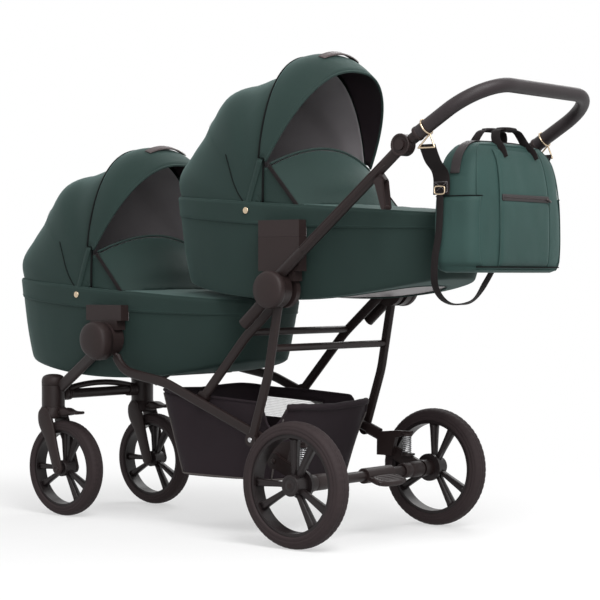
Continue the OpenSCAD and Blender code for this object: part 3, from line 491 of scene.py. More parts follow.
def half_at(x):
    return COT_B * max(0.0, 1 - (abs(x) / COT_A) ** PLAN_E) ** (1 / PLAN_E)


def cot_pt(f, inset, t, up=0.0):
    """A point of the tub's wall at the share f of its height."""
    a = BASE_A + (COT_A - BASE_A) * f ** 0.8 - inset
    b = BASE_B + (COT_B - BASE_B) * f ** 0.7 - inset
    x, y = oblong(a, b, PLAN_E, t)
    return [x, y, low_at(x) + (rim_at(x) - low_at(x)) * f + up]


COT_TURN = even_turn(lambda t: cot_pt(1, 0, t), 180, 1441)
HOOD_L = COT_A + BOW_X
BOW_Z = rim_at(BOW_X) + 0.6
RIM_SLOPE = degrees(atan((RIM_HEAD - RIM_FOOT) / (2 * COT_A)))
# the hood's section at angles of a fan about its bow: radius and roundness
FAN_END = 180 - RIM_SLOPE
FAN = [90, 99, 111, 124, 136, 145, 156, 167, FAN_END]
FAN_R = [357] + [k * HOOD_L for k in (0.889, 0.893, 0.947, 0.925, 0.918, 0.958, 1.022, 1.0)]
FAN_E = [2.4, 2.67, 2.67, 2.93, 2.93, 2.9, 2.9, 3.0, 2.8]
BOW_ANGLE = 139
VISOR_R, VISOR_SWELL = 390, 16
FLAP_X, FLAP_LEAN, FLAP_RISE, FLAP_BOW = 69, 92, 142, 26
APRON_X = 88


def hood_pt(angle, t, inset, fold=0.0):
    e = spline(FAN, FAN_E, angle)
    r = spline(FAN, FAN_R, angle) - inset + fold
    a = r * sin(t) ** (2 / e)
    q = radians(angle)
    return [BOW_X + a * cos(q), (COT_B - inset) * signed_power(cos(t), 2 / e), BOW_Z + a * sin(q)]


def hood_side(x, z, s, out=0.0):
    """A point on the side of the hood at that length and height."""
    angle = degrees(atan2(z - BOW_Z, x - BOW_X))
    e, r = spline(FAN, FAN_E, angle), spline(FAN, FAN_R, angle) - 3.0
    k = min(1.0, hypot(z - BOW_Z, x - BOW_X) / r)
    return [x, s * ((COT_B - 3.0) * max(0.0, 1 - k ** e) ** (1 / e) + out), z]


def visor_pt(u, t, inset):
    r = VISOR_R + VISOR_SWELL * sin(pi * u) - inset
    a = r * sin(t) ** (2 / BOW_E)
    y = (COT_B + 9 - inset) * signed_power(cos(t), 2 / BOW_E)
    f = degrees(acos(42 / a))
    g = radians(f + (min(f - 4, 62) - f) * u)
    return [a * cos(g) + HINGE[0], y, a * sin(g) + HINGE[1]]


def flap_pt(v, j):
    w = (0.98 + (0.965 - 0.98) * v) * COT_B
    crown = 1 - j * j
    x = FLAP_X - FLAP_LEAN * v + FLAP_BOW * crown * (1 - 0.2 * v + 0.6 * sin(pi * v))
    return [x, j * w, rim_at(FLAP_X) + 0.3 + 7 * crown + FLAP_RISE * v * (1 - 0.28 * j * j)]


def apron_pt(u, j, up):
    crown = 1 - j * j
    xc = APRON_X + (COT_A - APRON_X) * u
    x = xc + (1 - u) * FLAP_BOW * crown
    dip = 4 * max(0.0, 1 - 9 * u)
    return [x, j * half_at(xc), rim_at(x) + 0.3 + up * 6 + (7 - dip) * crown]


def bow_turn(low, n):
    return linspace(radians(low), radians(180 - low), n)


# cover: cloth with slack folds round the tub, drawn in under it, with a hem
UNDER = ((1.0, -2.0), (0.75, -2.3), (0.5, -2.3), (0.25, -2.3), (0.1, -2.2), (0.02, -1.2))
UP_THE_WALL = (0.015, 0.04, 0.07, 0.1, 0.14, 0.2, 0.28, 0.36, 0.45, 0.54, 0.63, 0.72, 0.8, 0.88, 0.95, 1.0)
COVER_ROWS = [(0.0, tuck, up) for tuck, up in UNDER] + [(f, 0, 0) for f in UP_THE_WALL]
# how far the cover goes under the tub, at its sides and at its foot; the front cover's long tuck under its
# foot is partly painted shade, dark cloth laid over the pale tub where it lies in shade under the rear
# carrycot
TUCK = {"rear": (30.0, 72.0), "front": (40.0, 230.0)}


def tucked(which, tuck, t):
    side_in, foot_in = TUCK[which]
    k = clamp((cot_pt(0, 0, t)[0] - 40) / 320)
    deep = tuck * (side_in + (foot_in - side_in) * k * k * (3 - 2 * k))
    x, y, _ = cot_pt(0, min(deep, side_in), t)
    return x - max(0.0, deep - side_in) * max(0.0, cos(t)), y


def slack(f, t):
    x, y, z = cot_pt(f, 0, t)
    pull = 1.6 * waver(x, y, z, 0.009, 3.1) + 0.8 * waver(x, y, z * 0.35, 0.03, 7.7)
    return 0.3 + 0.5 * sin(pi * f) + pull * sin(pi * min(1, f * 1.3)) * 0.7


def cover(which, on):
    def outside(step, t):
        f, tuck, up = step
        if not tuck:
            return on(cot_pt(f, -slack(f, t), t))
        x, y = tucked(which, tuck, t)
        return on([x, y, low_at(x) + up])

    def inside(step, t):
        f, tuck, _ = step
        if not tuck:
            return on(cot_pt(f, 2.4, t))
        x, y = tucked(which, tuck, t)
        return on([x * 0.997, y * 0.997, low_at(x) - 0.3])

    o = cloth(f"{which}_cover_cloth", COVER_ROWS, COT_TURN, outside, inside, GREEN, GREEN, wrap=True)
    keep(o, f"{which}_cot", "green", f"{which}_cover")
    edge = [on([x, y, low_at(x) - 1.9]) for x, y in (tucked(which, 1.0, t) for t in COT_TURN)]
    put(f"{which}_cover_hem", tube(edge, 0.0021, closed=True), GREEN, f"{which}_cot", "green")


# sewn band round the rim: over the edge, down the outside and a turned hem; lining of the tub
RIM_BAND = ((1.0, 6.0, 0.6), (1.0, 3.0, 2.2), (1.0, 0.0, 2.4), (1.0, -1.6, 1.0), (0.985, -2.2, 0),
            (0.95, -2.4, 0), (0.9, -2.5, 0), (0.86, -2.7, 0), (0.825, -2.9, 0), (0.8, -3.2, 0),
            (0.787, -3.4, 0), (0.782, -2.6, 0), (0.787, -1.4, 0), (0.82, -1.0, 0))


def rim_band(which, on):
    body = f"{which}_cot"
    rows = []
    for f, inset, up in RIM_BAND:
        ripple = 0.9 if f < 0.99 else 0.0
        rows.append([on(cot_pt(f, inset - ripple * waver(t * 40, f * 30, 0, 0.12, 1.3), t, up))
                     for t in COT_TURN])
    put(f"{which}_rim_band", hoop(rows), GREEN, body, "green")
    line = [on(cot_pt(0.81, -3.45, t)) for t in COT_TURN]
    put(f"{which}_band_stitch", stitches(line, closed=True), THREAD, body, "green")
    line = [on(cot_pt(1.0, 0.8, t, 2.6)) for t in COT_TURN]
    put(f"{which}_rim_piping", tube(line, 0.0018, closed=True), GREEN, body, "green")
    o = cloth(f"{which}_tub_lining", (0.97, 0.8, 0.6, 0.4, 0.25), COT_TURN,
              lambda f, t: on(cot_pt(f, 9.4, t)),
              lambda f, t: on(cot_pt(f, 11.0 + 0.8 * sin(t * 24), t)), LINING, LINING, wrap=True)
    keep(o, body, "basket")


# apron: top cloth with a soft crown and tension folds
def apron(which, on):
    body = f"{which}_cot"
    us = np.concatenate([linspace(0, 0.9, 22), [0.94, 0.97, 0.985, 0.995]])
    js = np.sin(linspace(-pi / 2, pi / 2, 41))

    def top(u, j):
        x, y, z = apron_pt(u, j, 1.0)
        pull = 1.2 * sin(u * 26 + 1.5 * sin(j * 3)) * (1 - u) * 0.6
        return on([x, y, z + (1 - j * j) * (1.6 * waver(x, y, 0, 0.018, 5.0) + pull)])

    o = cloth(f"{which}_apron_cloth", us, js[::-1], top, lambda u, j: on(apron_pt(u, j, 0.25)), GREEN, LINING)
    keep(o, body, "green", f"{which}_apron")
    put(f"{which}_apron_binding", tube([on(apron_pt(0, j, 0.8)) for j in js], 0.0026), GREEN, body, "green")


# rear of the hood: cloth stretched over two bows, with a dart in each side
def hood_rear(which, on):
    body = f"{which}_cot"
    k = linspace(0, 1, 71)
    ts = np.radians(0.3 + 179.4 * (0.6 * k + 0.2 * (1 - np.cos(pi * k))))
    spans = ((90, 100, 8), (102, 130, 16), (131.5, 148, 14), (150, FAN_END, 16))

    def outside(a, t):
        s = sin(t)
        fold = s * (1.8 * waver(a * 0.11, t * 3.0, 0, 1.0, 2.2) + 1.1 * waver(a * 0.25, t * 5, 1, 1.0, 8.2))
        fold += 2.2 * s ** 4 * bell(a - BOW_ANGLE, 3.0)
        return on(hood_pt(a, t, 3.0, fold * min(1.0, (a - 90) / 4.0, (FAN_END - a) / 4.0)))

    o = cloth(f"{which}_hood_rear_cloth", np.concatenate([linspace(*span) for span in spans]), ts, outside,
              lambda a, t: on(hood_pt(a, t, 6.6)), GREEN, LINING)
    keep(o, body, "green", f"{which}_hood_back")
    ridge = [on(hood_pt(BOW_ANGLE, t, 2.0, 2.4)) for t in bow_turn(14, 61)]
    put(f"{which}_bow_stitch", stitches(ridge), THREAD, body, "green")
    # the front edge of the hood's rear is dark binding, darkened also as painted shade for the gap between
    # the hood and the flap
    put(f"{which}_hood_edge", tube([on(hood_pt(90.3, t, 3.2)) for t in ts], 0.0026), PIPING, body, "webbing")
    for name, s in SIDES:
        dart = [on(hood_side(-97 - 70 * k - 14 * sin(pi * k) * (1 - k), 232 + 122 * k, s, 0.5))
                for k in linspace(0, 1, 30)]
        put(f"{which}_dart_{name}", tube(dart, 0.0013, sides=6), PIPING, body, "green")


# visor with its edges, seam piping and the skirt that joins it to the rear of the hood
def visor(which, on):
    body = f"{which}_hood"
    ts = bow_turn(16, 71)

    def skirt(k, t, back=0.0):
        x, y, z = on([a * (1 - k) + b * k for a, b in zip(visor_pt(0.03, t, 4.0), hood_pt(91, t, -1.0))])
        return (x - back, y, z)

    o = cloth(f"{which}_visor", linspace(0, 1, 15), ts, lambda u, t: on(visor_pt(u, t, 0.4)),
              lambda u, t: on(visor_pt(u, t, 4.6)), GREEN, BLACK_CLOTH)
    keep(o, body, "green", f"{which}_hood_front")
    o = cloth(f"{which}_visor_skirt", linspace(0, 1, 5), ts, skirt, lambda k, t: skirt(k, t, 0.0012),
              PIPING, PIPING)
    keep(o, body, "webbing")
    put(f"{which}_visor_seam", tube([on(visor_pt(0.0, t, 1.6)) for t in ts], 0.0034), PIPING, body, "webbing")
    put(f"{which}_visor_edge", tube([on(visor_pt(1.0, t, 2.4)) for t in ts], 0.0031), GREEN, body, "green")
    for k, u in (("a", 0.93), ("b", 0.07)):
        line = [on(visor_pt(u, t, 0.1)) for t in ts]
        put(f"{which}_visor_stitch_{k}", stitches(line), THREAD, body, "green")


# arms from the visor to its hinges, each with a press stud
ARM = ((-1, 0.3), (-0.92, 1.0), (0, 1.25), (0.92, 1.0), (1, 0.3), (0.92, -0.9), (0, -1.0), (-0.92, -0.9))
ARM_L, ARM_ANGLE = 131.0, radians(70)
STUD = ((8.2, 0.0), (8.4, 1.0), (7.8, 2.0), (6.4, 2.6), (6.0, 2.1), (4.0, 3.0), (2.0, 3.5), (0.3, 3.6))


def hinge_pt(on, angle, out, y, across):
    """A point at a distance out from the hinge along an angle, and across it."""
    c, s = cos(angle), sin(angle)
    return on([HINGE[0] + out * c - across * s, y, HINGE[1] + out * s + across * c])


def visor_arms(which, on):
    body = f"{which}_hood"
    for name, s in SIDES:
        rows = []
        for out in linspace(0, ARM_L, 14):
            w = 8.0 + 3.0 * bell(out, 9.0)
            rows.append([hinge_pt(on, ARM_ANGLE, out, s * (211.6 + 0.8 * b), a * w) for a, b in ARM])
        put(f"{which}_visor_arm_{name}", closed_loft(rows), GREEN, body, "green")
        rows = [[hinge_pt(on, t, radius, s * (212.4 + h), 0) for t in circle(24)] for radius, h in STUD]
        put(f"{which}_stud_{name}", closed_loft(rows), GOLD, body, "gold")


# carry band on the visor, with two lines of stitching
CARRY = ((-1, 0), (-0.93, 0.75), (-0.5, 1.1), (0, 1.25), (0.5, 1.1), (0.93, 0.75), (1, 0), (0.9, -0.7),
         (0, -0.8), (-0.9, -0.7))
CARRY_HALF, CARRY_ANGLE = 70, radians(72)


def carry_band(which, on):
    body = f"{which}_hood"

    def band_pt(k, lift, across):
        return hinge_pt(on, CARRY_ANGLE, 411.5 - 15.5 * k * k + lift, CARRY_HALF * k, across)

    rows = []
    for k in linspace(-1, 1, 41):
        half = 12.5 * (1 - 0.12 * abs(k) ** 6)
        fat = 2.3 * (1 - 0.45 * abs(k) ** 4)
        rows.append([band_pt(k, fat * b, half * a) for a, b in CARRY])
    put(f"{which}_carry_band", closed_loft(rows), BAND, body, "webbing")
    for name, across in (("a", -9.6), ("b", 9.6)):
        line = [band_pt(k, 2.6, across) for k in linspace(-0.95, 0.95, 60)]
        put(f"{which}_band_line_{name}", stitches(line), BAND, body, "webbing")


for which, cot in COTS.items():
    for build in (cover, rim_band, apron, hood_rear, visor, visor_arms, carry_band):
        build(which, lambda p: row(p, cot))


def both_cots(front, base, body, slot, gone=None):
    """Sets a finished front piece and its copy on the two carrycots."""
    rear = front.copy()
    rear.data = front.data.copy()
    dx, dz = np.subtract(COTS["rear"], COTS["front"]) / 1000
    rear.data.transform(Matrix.Translation((dx, 0, dz)))
    rear.name = f"rear_{base}"
    scene.collection.objects.link(rear)
    for which, o in (("front", front), ("rear", rear)):
        keep(o, f"{which}_{body}", slot, *([f"{which}_{gone}"] if gone else []))


def front_pt(x, y, z):
    return row((x, y, z), COTS["front"])


# mattress: a quilted pad
MATTRESS_ROWS = ((0.0, 0.02, 6.4), (0.0, 0.4, 6.4), (0.0, 0.75, 6.4), (0.0, 0.9, 7), (0.05, 0.96, 14),
                 (0.05, 0.975, 24), (0.05, 0.95, 38), (0.05, 0.86, 45), (0.03, 0.6, 48), (0.01, 0.3, 51),
                 (0.0, 0.02, 52))
rows = []
for f, k, up in MATTRESS_ROWS:
    a, b = k * (BASE_A + 74 * f ** 0.8 - 19), k * (BASE_B + 36 * f ** 0.7 - 19)
    plan = [oblong(a, b, PLAN_E, t) for t in COT_TURN[::2]]
    rows.append([front_pt(x, y, low_at(x) + (rim_at(x) - low_at(x)) * f + up) for x, y in plan])
pad = add("front_mattress_pad", closed_loft(rows), MATTRESS)
puff(pad, 3.0, 0.004, 0.009, 14)
relax(pad, 4)
both_cots(pad, "mattress_pad", "cot", "mattress", "mattress")


# wind flap: a padded panel with piping along its top
def flap_face(v, j, s):
    x, y, z = flap_pt(v, j)
    full = 3.6 + 2.6 * (1 - j * j) * sin(pi * min(1.0, 0.15 + v * 0.8))
    if s > 0:
        full -= 3.0 * (1 - j * j) * bell(v - 0.18, 0.13)
    return front_pt(x + s * full, y * 0.984, z - 2.0 * v)


js = np.sin(linspace(pi / 2, -pi / 2, 61))
pad = cloth("front_wind_flap", linspace(0, 1, 24), js, lambda v, j: flap_face(v, j, 1),
            lambda v, j: flap_face(v, j, -1), GREEN, GREEN)
puff(pad, 4.0, 0.006, 0.0036, 20)
relax(pad, 8)
both_cots(pad, "wind_flap", "flap", "green", "flap")
line = [front_pt(x, y, z + 1.6) for x, y, z in (flap_pt(1.0, j) for j in linspace(0.98, -0.98, 70))]
pad = add("front_flap_piping", tube(resample(line, 0.006), 0.0030), GREEN)
both_cots(pad, "flap_piping", "flap", "green")

# cloth gussets between the flap and the hood, and a black strip up each side edge of the flap, partly webbing
# and partly painted shade of the fold along that seam
EDGE_RISE = FLAP_RISE * 0.72
EDGE = np.array([-FLAP_LEAN, EDGE_RISE]) / hypot(FLAP_LEAN, EDGE_RISE)
STRIP = ((-1, -0.6), (-1, 0.4), (-0.8, 0.8), (0, 1.0), (0.8, 0.8), (1, 0.4), (1, -0.6), (0, -1.0))


def gusset_pt(a, b, s, inset=0.0):
    x = 64.0 - 108.0 * a
    lo = rim_at(x) + 1.2
    hi = rim_at(FLAP_X) + 0.6 + (64.5 - max(x, -22.0)) * EDGE_RISE / FLAP_LEAN
    hi = max(rim_at(x) + 1.6, hi)
    bow = 2.2 * sin(pi * a) * sin(pi * b) + 0.5 * waver(x, b * 90, 0, 0.03, 5.5)
    return front_pt(x, s * (204.0 - bow - inset), lo + (hi - lo) * b)


for name, s in SIDES:
    o = cloth(f"front_flap_gusset_{name}", linspace(0, 1, 15), linspace(0, 1, 11),
              lambda a, b: gusset_pt(a, b, s), lambda a, b: gusset_pt(a, b, s, 1.4), GREEN, LINING)
    both_cots(o, f"flap_gusset_{name}", "flap", "green")
    rows = []
    for v in linspace(0.02, 0.985, 30):
        x, _, z = flap_pt(v, s)
        rows.append([front_pt(x + EDGE[1] * (a * 5 - 1), s * (206.2 + 1.4 * b), z - EDGE[0] * (a * 5 - 1))
                     for a, b in STRIP])
    # painted shade: this black strip darkens the fold at the flap's side edge
    o = add(f"front_flap_strip_{name}", closed_loft(rows), WEBBING)
    both_cots(o, f"flap_strip_{name}", "flap", "webbing")


# wheels: tyres with shoulder ribs and a siped tread, hub caps and blades over the spokes
# share of the tyre's height and of its half width, from the bead to the middle of the tread
TYRE_HALF = ((0.0, 0.98), (0.12, 1.0), (0.3, 1.0), (0.33, 0.97), (0.36, 1.0), (0.55, 0.97), (0.58, 0.93),
             (0.62, 0.95), (0.78, 0.84), (0.90, 0.66), (0.965, 0.45), (0.99, 0.28), (0.975, 0.25),
             (0.975, 0.2), (1.0, 0.17), (1.0, 0.03), (0.985, 0.02))
TYRE_SECTION = [(a, -b) for a, b in TYRE_HALF] + list(TYRE_HALF[::-1])
TYRE_STEPS, SIPE = 240, 1.1
HUB_CAP = ((0.98, -3), (1.0, 0.5), (0.94, 2.0), (0.7, 2.6), (0.66, 1.6), (0.5, 1.8), (0.4, 3.6), (0.05, 4.2))
BLADE = ((-1, 0.3), (-0.72, 0.85), (-0.3, 0.7), (0.3, 0.7), (0.72, 0.85), (1, 0.3), (1, -0.3), (0.72, -0.85),
         (0, -1), (-0.72, -0.85))
BLADE_ANGLES = (60, 90, 180, 210, 300, 330)


def tyre(x, y, radius, width):
    bead = 0.8 * radius
    rows = []
    for i, t in enumerate(circle(TYRE_STEPS)):
        ring = []
        for a, b in TYRE_SECTION:
            r = bead + (radius - bead) * a
            if a > 0.88 and abs(b) > 0.15 and (i + (2 if b > 0 else 0)) % 4 == 0:
                r -= SIPE
            ring.append(at(x + r * cos(t), y + width / 2 * b, radius + r * sin(t)))
        rows.append(ring)
    return hoop(rows)


def spoke_blade(x, plane, radius, width, angle, s):
    """A blade that widens towards the rim."""
    c, d = cos(angle), sin(angle)
    rows = []
    for u in linspace(0, 1, 9):
        out = (0.155 + (0.748 - 0.155) * u) * radius
        half = 0.0375 * radius * (1.12 + 0.62 * u ** 1.4 + 2.5 * max(0.0, u - 0.9))
        thick = 0.15 * width * (1.25 + 0.75 * u)
        rows.append([at(x + out * c - a * half * d, s * (plane + b * thick), radius + out * d + a * half * c)
                     for a, b in BLADE])
    return closed_loft(rows)


for which, (x, plane, radius, width, hub) in WHEELS.items():
    for name, s in SIDES:
        body = f"{which}_wheel_{name}"
        put(f"{which}_tread_{name}", tyre(x, s * plane, radius, width), TYRE, body, "tyre",
            f"{which}_tyre_{name}")
        cap = [(hub * k, plane + 0.4 * width + out) for k, out in HUB_CAP]
        put(f"{body}_cap", turned(cap, (x, radius), s), RIM, body, "rim")
        blades = [spoke_blade(x, plane, radius, width, a, s) for a in np.radians(BLADE_ANGLES)]
        put(f"{which}_wheel_blades_{name}", joined(blades), RIM, body, "rim")

# smooth covers over the folding hubs, and rivets of the frame
REAR_COVER = ((44.6, 262), (45.2, 268), (45.0, 276), (43.0, 280.5), (38.0, 283.4), (26.0, 285.6),
              (12.0, 286.6), (0.5, 286.8))
FRONT_COVER = ((44.8, 246), (45.4, 262), (45.2, 274), (43.0, 280.0), (37.5, 283.6), (25.0, 286.4),
               (10.0, 287.6), (0.5, 287.8))
RIVET = ((6.5, 0), (6.6, 0.9), (5.2, 2.2), (2.4, 3.0), (0.3, 3.1))
# x, z, the face that it sits on, the way that its head looks, its material
RIVETS = ((-180, 243, 236.8, 1, STEEL), (-364, 338, 190.2, -1, PLASTIC), (-110, 196, 233.9, 1, PLASTIC))


def egg(t):
    d = t + radians(63)
    return 1.0 + 0.24 * bell(atan2(sin(d), cos(d)), 0.62)


for name, s in SIDES:
    for which, mesh in (("rear", turned(REAR_COVER, (-91, 607), s, 64)),
                        ("front", turned(FRONT_COVER, (-676, 477), s, 64, egg))):
        moulded(f"{which}_hub_cover_{name}", mesh)
    for k, (x, z, face, way, mat) in enumerate(RIVETS):
        head = [(r, face + way * out) for r, out in RIVET]
        put(f"rivet_{name}_{k}", turned(head, (x, z), s, 24), mat, "chassis", "plastic")

# front forks: housing tops, crowns, blades, axle caps, lock levers and collars on the beam
HOUSING = ((31.25, 346), (31.3, 358), (30.6, 363.5), (28.4, 368.6), (24.4, 372.4), (18.5, 375.0), (11, 376.4),
           (4, 376.9), (0.3, 377))
# height, reach ahead and back, half width, roundness
CROWN = ((289.2, 31.4, 30.9, 31.4, 2.0), (286.5, 33.0, 30.9, 32.8, 2.0), (281, 35.0, 30.9, 35.2, 2.2),
         (273, 36.5, 30.9, 37.2, 2.6), (266, 36.0, 30.9, 37.6, 2.8), (261, 33.5, 30.2, 36.6, 3.0),
         (258.2, 28, 26, 33, 3.0))
PAD = ((-1, -0.55), (-0.85, -1), (0, -1), (0.85, -1), (1, -0.55), (1, 0.45), (0.82, 0.95), (0.4, 1.12),
       (0, 1.18), (-0.4, 1.12), (-0.82, 0.95), (-1, 0.45))
FORK_DOWN = np.array([48.0, -146.0])
FORK_ACROSS = np.array([146.0, 48.0]) / 153.69
FORK_TOP = 273.0
FORK_STEPS = (-0.1, -0.085, -0.05, 0.0, 0.06, 0.12, 0.18, 0.25, 0.33, 0.42, 0.52, 0.64, 0.76, 0.88, 0.96, 1.0,
              1.035, 1.065, 1.085, 1.098)
FORK_KEYS = (0.0, 0.1, 0.22, 0.4, 0.6, 0.8, 1.0)
FORK_HALF = (22.0, 25.0, 25.0, 20.5, 17.6, 16.2, 15.2)
AXLE_CAP = ((9.0, 208.6), (8.8, 210.4), (7.4, 211.5), (4.6, 211.6), (4.2, 210.8), (0.3, 210.8))
# distance back, half width, lowest and highest point
LEVER = ((0.4, 12.5, -5, 8.0), (2.0, 14.6, -7.6, 10.2), (5, 16.2, -9.0, 11.6), (12, 17, -9.4, 12.2),
         (20, 17, -9.0, 11.8), (28, 16.6, -7.6, 9.8), (35, 16.0, -5.6, 6.8), (42, 15.7, -4.5, 4.9),
         (50, 15.5, -4.0, 4.2), (60, 15.4, -3.8, 4.0), (66, 15.2, -3.7, 4.6), (69.5, 14.4, -2.6, 4.4),
         (70.6, 12.5, -1.0, 2.6))
LEVER_X, LEVER_Z = 34.5, 275.7
COLLAR = ((13.3, 142.4), (16.2, 142.0), (16.8, 140.4), (16.8, 126.4), (15.8, 125.4), (15.8, 124.2),
          (16.8, 123.2), (16.8, 119.6), (15.8, 118.6), (15.8, 117.4), (16.4, 116.4), (16.2, 112.6),
          (15.0, 111.6), (13.2, 111.4))


def fork_pt(s, x, y, z):
    return at(FORK_X + x, s * FORK_Y + y, z)


def fork_crown(s):
    rows = []
    for z, ahead, back, wide, e in CROWN:
        plan = [oblong(1, wide, e, t) for t in circle(48)]
        rows.append([fork_pt(s, x * (back if x > 0 else ahead), y, z) for x, y in plan])
    return closed_loft(rows)


def fork_blade(s, k):
    rows = []
    for u in FORK_STEPS:
        half = spline(FORK_KEYS, FORK_HALF, clamp(u))
        if u < 0:
            half *= sqrt(max(0.02, 1 - (u / 0.102) ** 2))
        if u > 1:
            half *= sqrt(max(0.01, 1 - ((u - 1) / 0.099) ** 2))
        x, z = FORK_DOWN * u - FORK_ACROSS * 5.0 * bell(u - 0.1, 0.22)
        dx, dz = FORK_ACROSS * half
        rows.append([fork_pt(s, x + dx * a, k * (30.6 + 5.4 * b), FORK_TOP + z + dz * a) for a, b in PAD])
    return closed_loft(rows)


def lock_lever(s):
    rows = []
    for x, half, low, high in LEVER:
        z, tall = LEVER_Z + (high + low) / 2, (high - low) / 2
        rows.append([fork_pt(s, LEVER_X + x, half * a, z + tall * min(1.0, max(-1.0, b))) for a, b in PAD])
    return closed_loft(rows)


for name, s in SIDES:
    fork = f"fork_{name}"
    rows = [[fork_pt(s, r * cos(t), r * sin(t), z) for t in circle(48)] for r, z in HOUSING]
    moulded(f"housing_cap_{name}", closed_loft(rows))
    moulded(f"fork_crown_{name}", fork_crown(s), fork)
    for where, k in (("a", -1), ("b", 1)):
        moulded(f"fork_blade_{where}_{name}", fork_blade(s, k), fork)
    moulded(f"fork_axle_cap_{name}", turned(AXLE_CAP, (-880, 127), s, 32), fork)
    moulded(f"lock_grip_{name}", lock_lever(s), f"swivel_lock_{name}")
    collar = turned(COLLAR, (FORK_X, 321), s, 40, ring=True)
    moulded(f"beam_collar_{name}", collar)

# brake pedal: an oval pad with ribs; sleeves on the rear axle
PEDAL_TILT = radians(19)
PEDAL = ((0.86, -6.6), (0.96, -5.6), (1.0, -2.0), (1.0, 2.0), (0.95, 5.4), (0.86, 6.6), (0.6, 6.9),
         (0.3, 6.2), (0.02, 6.0))
SLEEVE = ((13.0, 140.6), (17.2, 141.0), (18.8, 142.6), (19.2, 145), (19.2, 166), (18.2, 167.4), (18.2, 170),
          (19.4, 171.6), (20.0, 176), (20.0, 214), (19.2, 217.4), (17.0, 219.0), (13.0, 219.4))


def pedal_pt(u, y, h):
    c, s = cos(PEDAL_TILT), sin(PEDAL_TILT)
    return at(u * c + h * s, 35 + y, 150 - u * s + h * c)


rows = [[pedal_pt(37 + u, y, h) for u, y in (oblong(25 * k, 57 * k, 2.6, t) for t in circle(48))]
        for k, h in PEDAL]
moulded("pedal_pad", closed_loft(rows), "brake_pedal")
for k, u in enumerate((27, 35, 43, 51)):
    line = [pedal_pt(u, 40 * v, 6.3 + 0.5 * abs(v)) for v in linspace(-1, 1, 24)]
    moulded(f"pedal_rib_{k}", tube(line, 0.0014), "brake_pedal")
for name, s in SIDES:
    moulded(f"axle_sleeve_{name}", turned(SLEEVE, (0, 150), s, 40, ring=True), "rear_axle")

# rails of the extruded handle tubes, and toothed rings round the tilt buttons
TUBE_SLOPE = radians(39)
TILT_RING = ((24.4, 260.5), (25.4, 262.0), (25.6, 264.0), (24.6, 265.3), (22.6, 265.6), (21.4, 264.6),
             (19.6, 264.2), (19.0, 263.0))
c, d = cos(TUBE_SLOPE), sin(TUBE_SLOPE)
for name, s in SIDES:
    for k, off in (("a", 6.6), ("b", -6.6)):
        line = [at(TILT_X - u * c - off * d, s * 261.5, TILT_Z - u * d + off * c)
                for u in linspace(62, 372, 40)]
        put(f"tube_rail_{k}_{name}", tube(line, 0.0016), FRAME, "handle", "frame")
    ring = turned(TILT_RING, (TILT_X, TILT_Z), s, 144, lambda t: 1 + 0.012 * cos(36 * t), ring=True)
    moulded(f"tilt_ring_{name}", ring, "handle")

# springs: wound wire
COIL_X, COIL_Y, COIL_LOW, COIL_HIGH = -36, 213.5, 187.0, 232.0
COIL_R, WIRE, COIL_TURNS = 10.5, 1.6, 8
COIL_END = 2 * pi * COIL_TURNS
COIL_RISE = COIL_HIGH - COIL_LOW - 2 * WIRE
for name, s in SIDES:
    line = [at(COIL_X + COIL_R * cos(t), s * (COIL_Y + COIL_R * sin(t)),
               COIL_LOW + WIRE + COIL_RISE * t / COIL_END)
            for t in linspace(0, COIL_END, COIL_TURNS * 24 + 1)]
    o = put(f"coil_{name}", tube(line, WIRE / 1000, sides=10), STEEL, "chassis", "spring")
    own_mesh(o)
    if name == "left":
        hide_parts("springs")

# seam along the inside of the grip, and its end rings
GRIP_SLOPE = radians(31)
GRIP_Y, GRIP_R, SEAM_IN = 250.2, 112, 16.3
GRIP_END = ((43.0, 15.8), (43.2, 17.1), (45.0, 17.6), (49.0, 17.6), (51.0, 17.1), (51.4, 16.4))


def grip_pt(u, y, up=0.0):
    c, s = cos(GRIP_SLOPE), sin(GRIP_SLOPE)
    return at(TILT_X + u * c - up * s, y, TILT_Z + u * s + up * c)


bend = GRIP_R - SEAM_IN
half = [(u, SEAM_IN - GRIP_Y) for u in linspace(46, 140, 24)]
half += [(140 + bend * cos(q), GRIP_R - GRIP_Y + bend * sin(q))
         for q in np.radians(linspace(-90, 0, 22))]
half += [(252 - SEAM_IN, y) for y in linspace(-130, 0, 26)]
line = [grip_pt(u, y) for u, y in half + [(u, -y) for u, y in half[-2::-1]]]
put("grip_seam", stitches(line, 0.006, 0.0042, 0.0007), LEATHER, "grip", "foam")
for name, s in SIDES:
    rows = [[grip_pt(u, GRIP_Y * s + r * cos(t), r * sin(t)) for t in circle(40)]
            for u, r in GRIP_END]
    moulded(f"grip_end_{name}", hoop(rows), "grip")

# basket: sewn black cloth that sags between its hangers
BASKET_X, BASKET_Z, BASKET_H, BASKET_B = -330.0, 137.0, 200.0, 190
WALL_ROWS = (0.0, 0.02, 0.06, 0.15, 0.27, 0.4, 0.5, 0.6, 0.7, 0.79, 0.88, 0.94, 1.0)
FLOOR_ROWS = (1.0, 0.97, 0.85, 0.65, 0.4, 0.15, 0.01)


def basket_at(x, y, z):
    return at(x + BASKET_X, y, z)


def basket_z(x, f):
    return BASKET_Z + f * BASKET_H - f * 26 * x / 450


def basket_pt(f, inset, t):
    x, y = oblong((330 + 120 * f) / 2 - inset, (0.9 + 0.1 * f) * BASKET_B - inset, 6.0, t)
    return [x, y, basket_z(x, f)]


def sag(x, y):
    """How far the top edge hangs below its hangers."""
    dip = 62 * exp(-((x - 178) / 30) ** 4) + 4 * bell(x + 120, 60)
    return dip * clamp((abs(y) - 150) / 30) + 6 * max(0.0, 1 - abs(y) / 150)


def hung_pt(f, inset, t, up=0.0):
    x, y, z = basket_pt(f, inset, t)
    return basket_at(x, y, z - sag(x, y) * f * f + up)


def wall_pt(f, t, inset):
    x, y, z = basket_pt(f, 0, t)
    return hung_pt(f, inset - (2.2 * waver(x, y, z, 0.013, 4.4) + 1.5) * sin(pi * f), t)


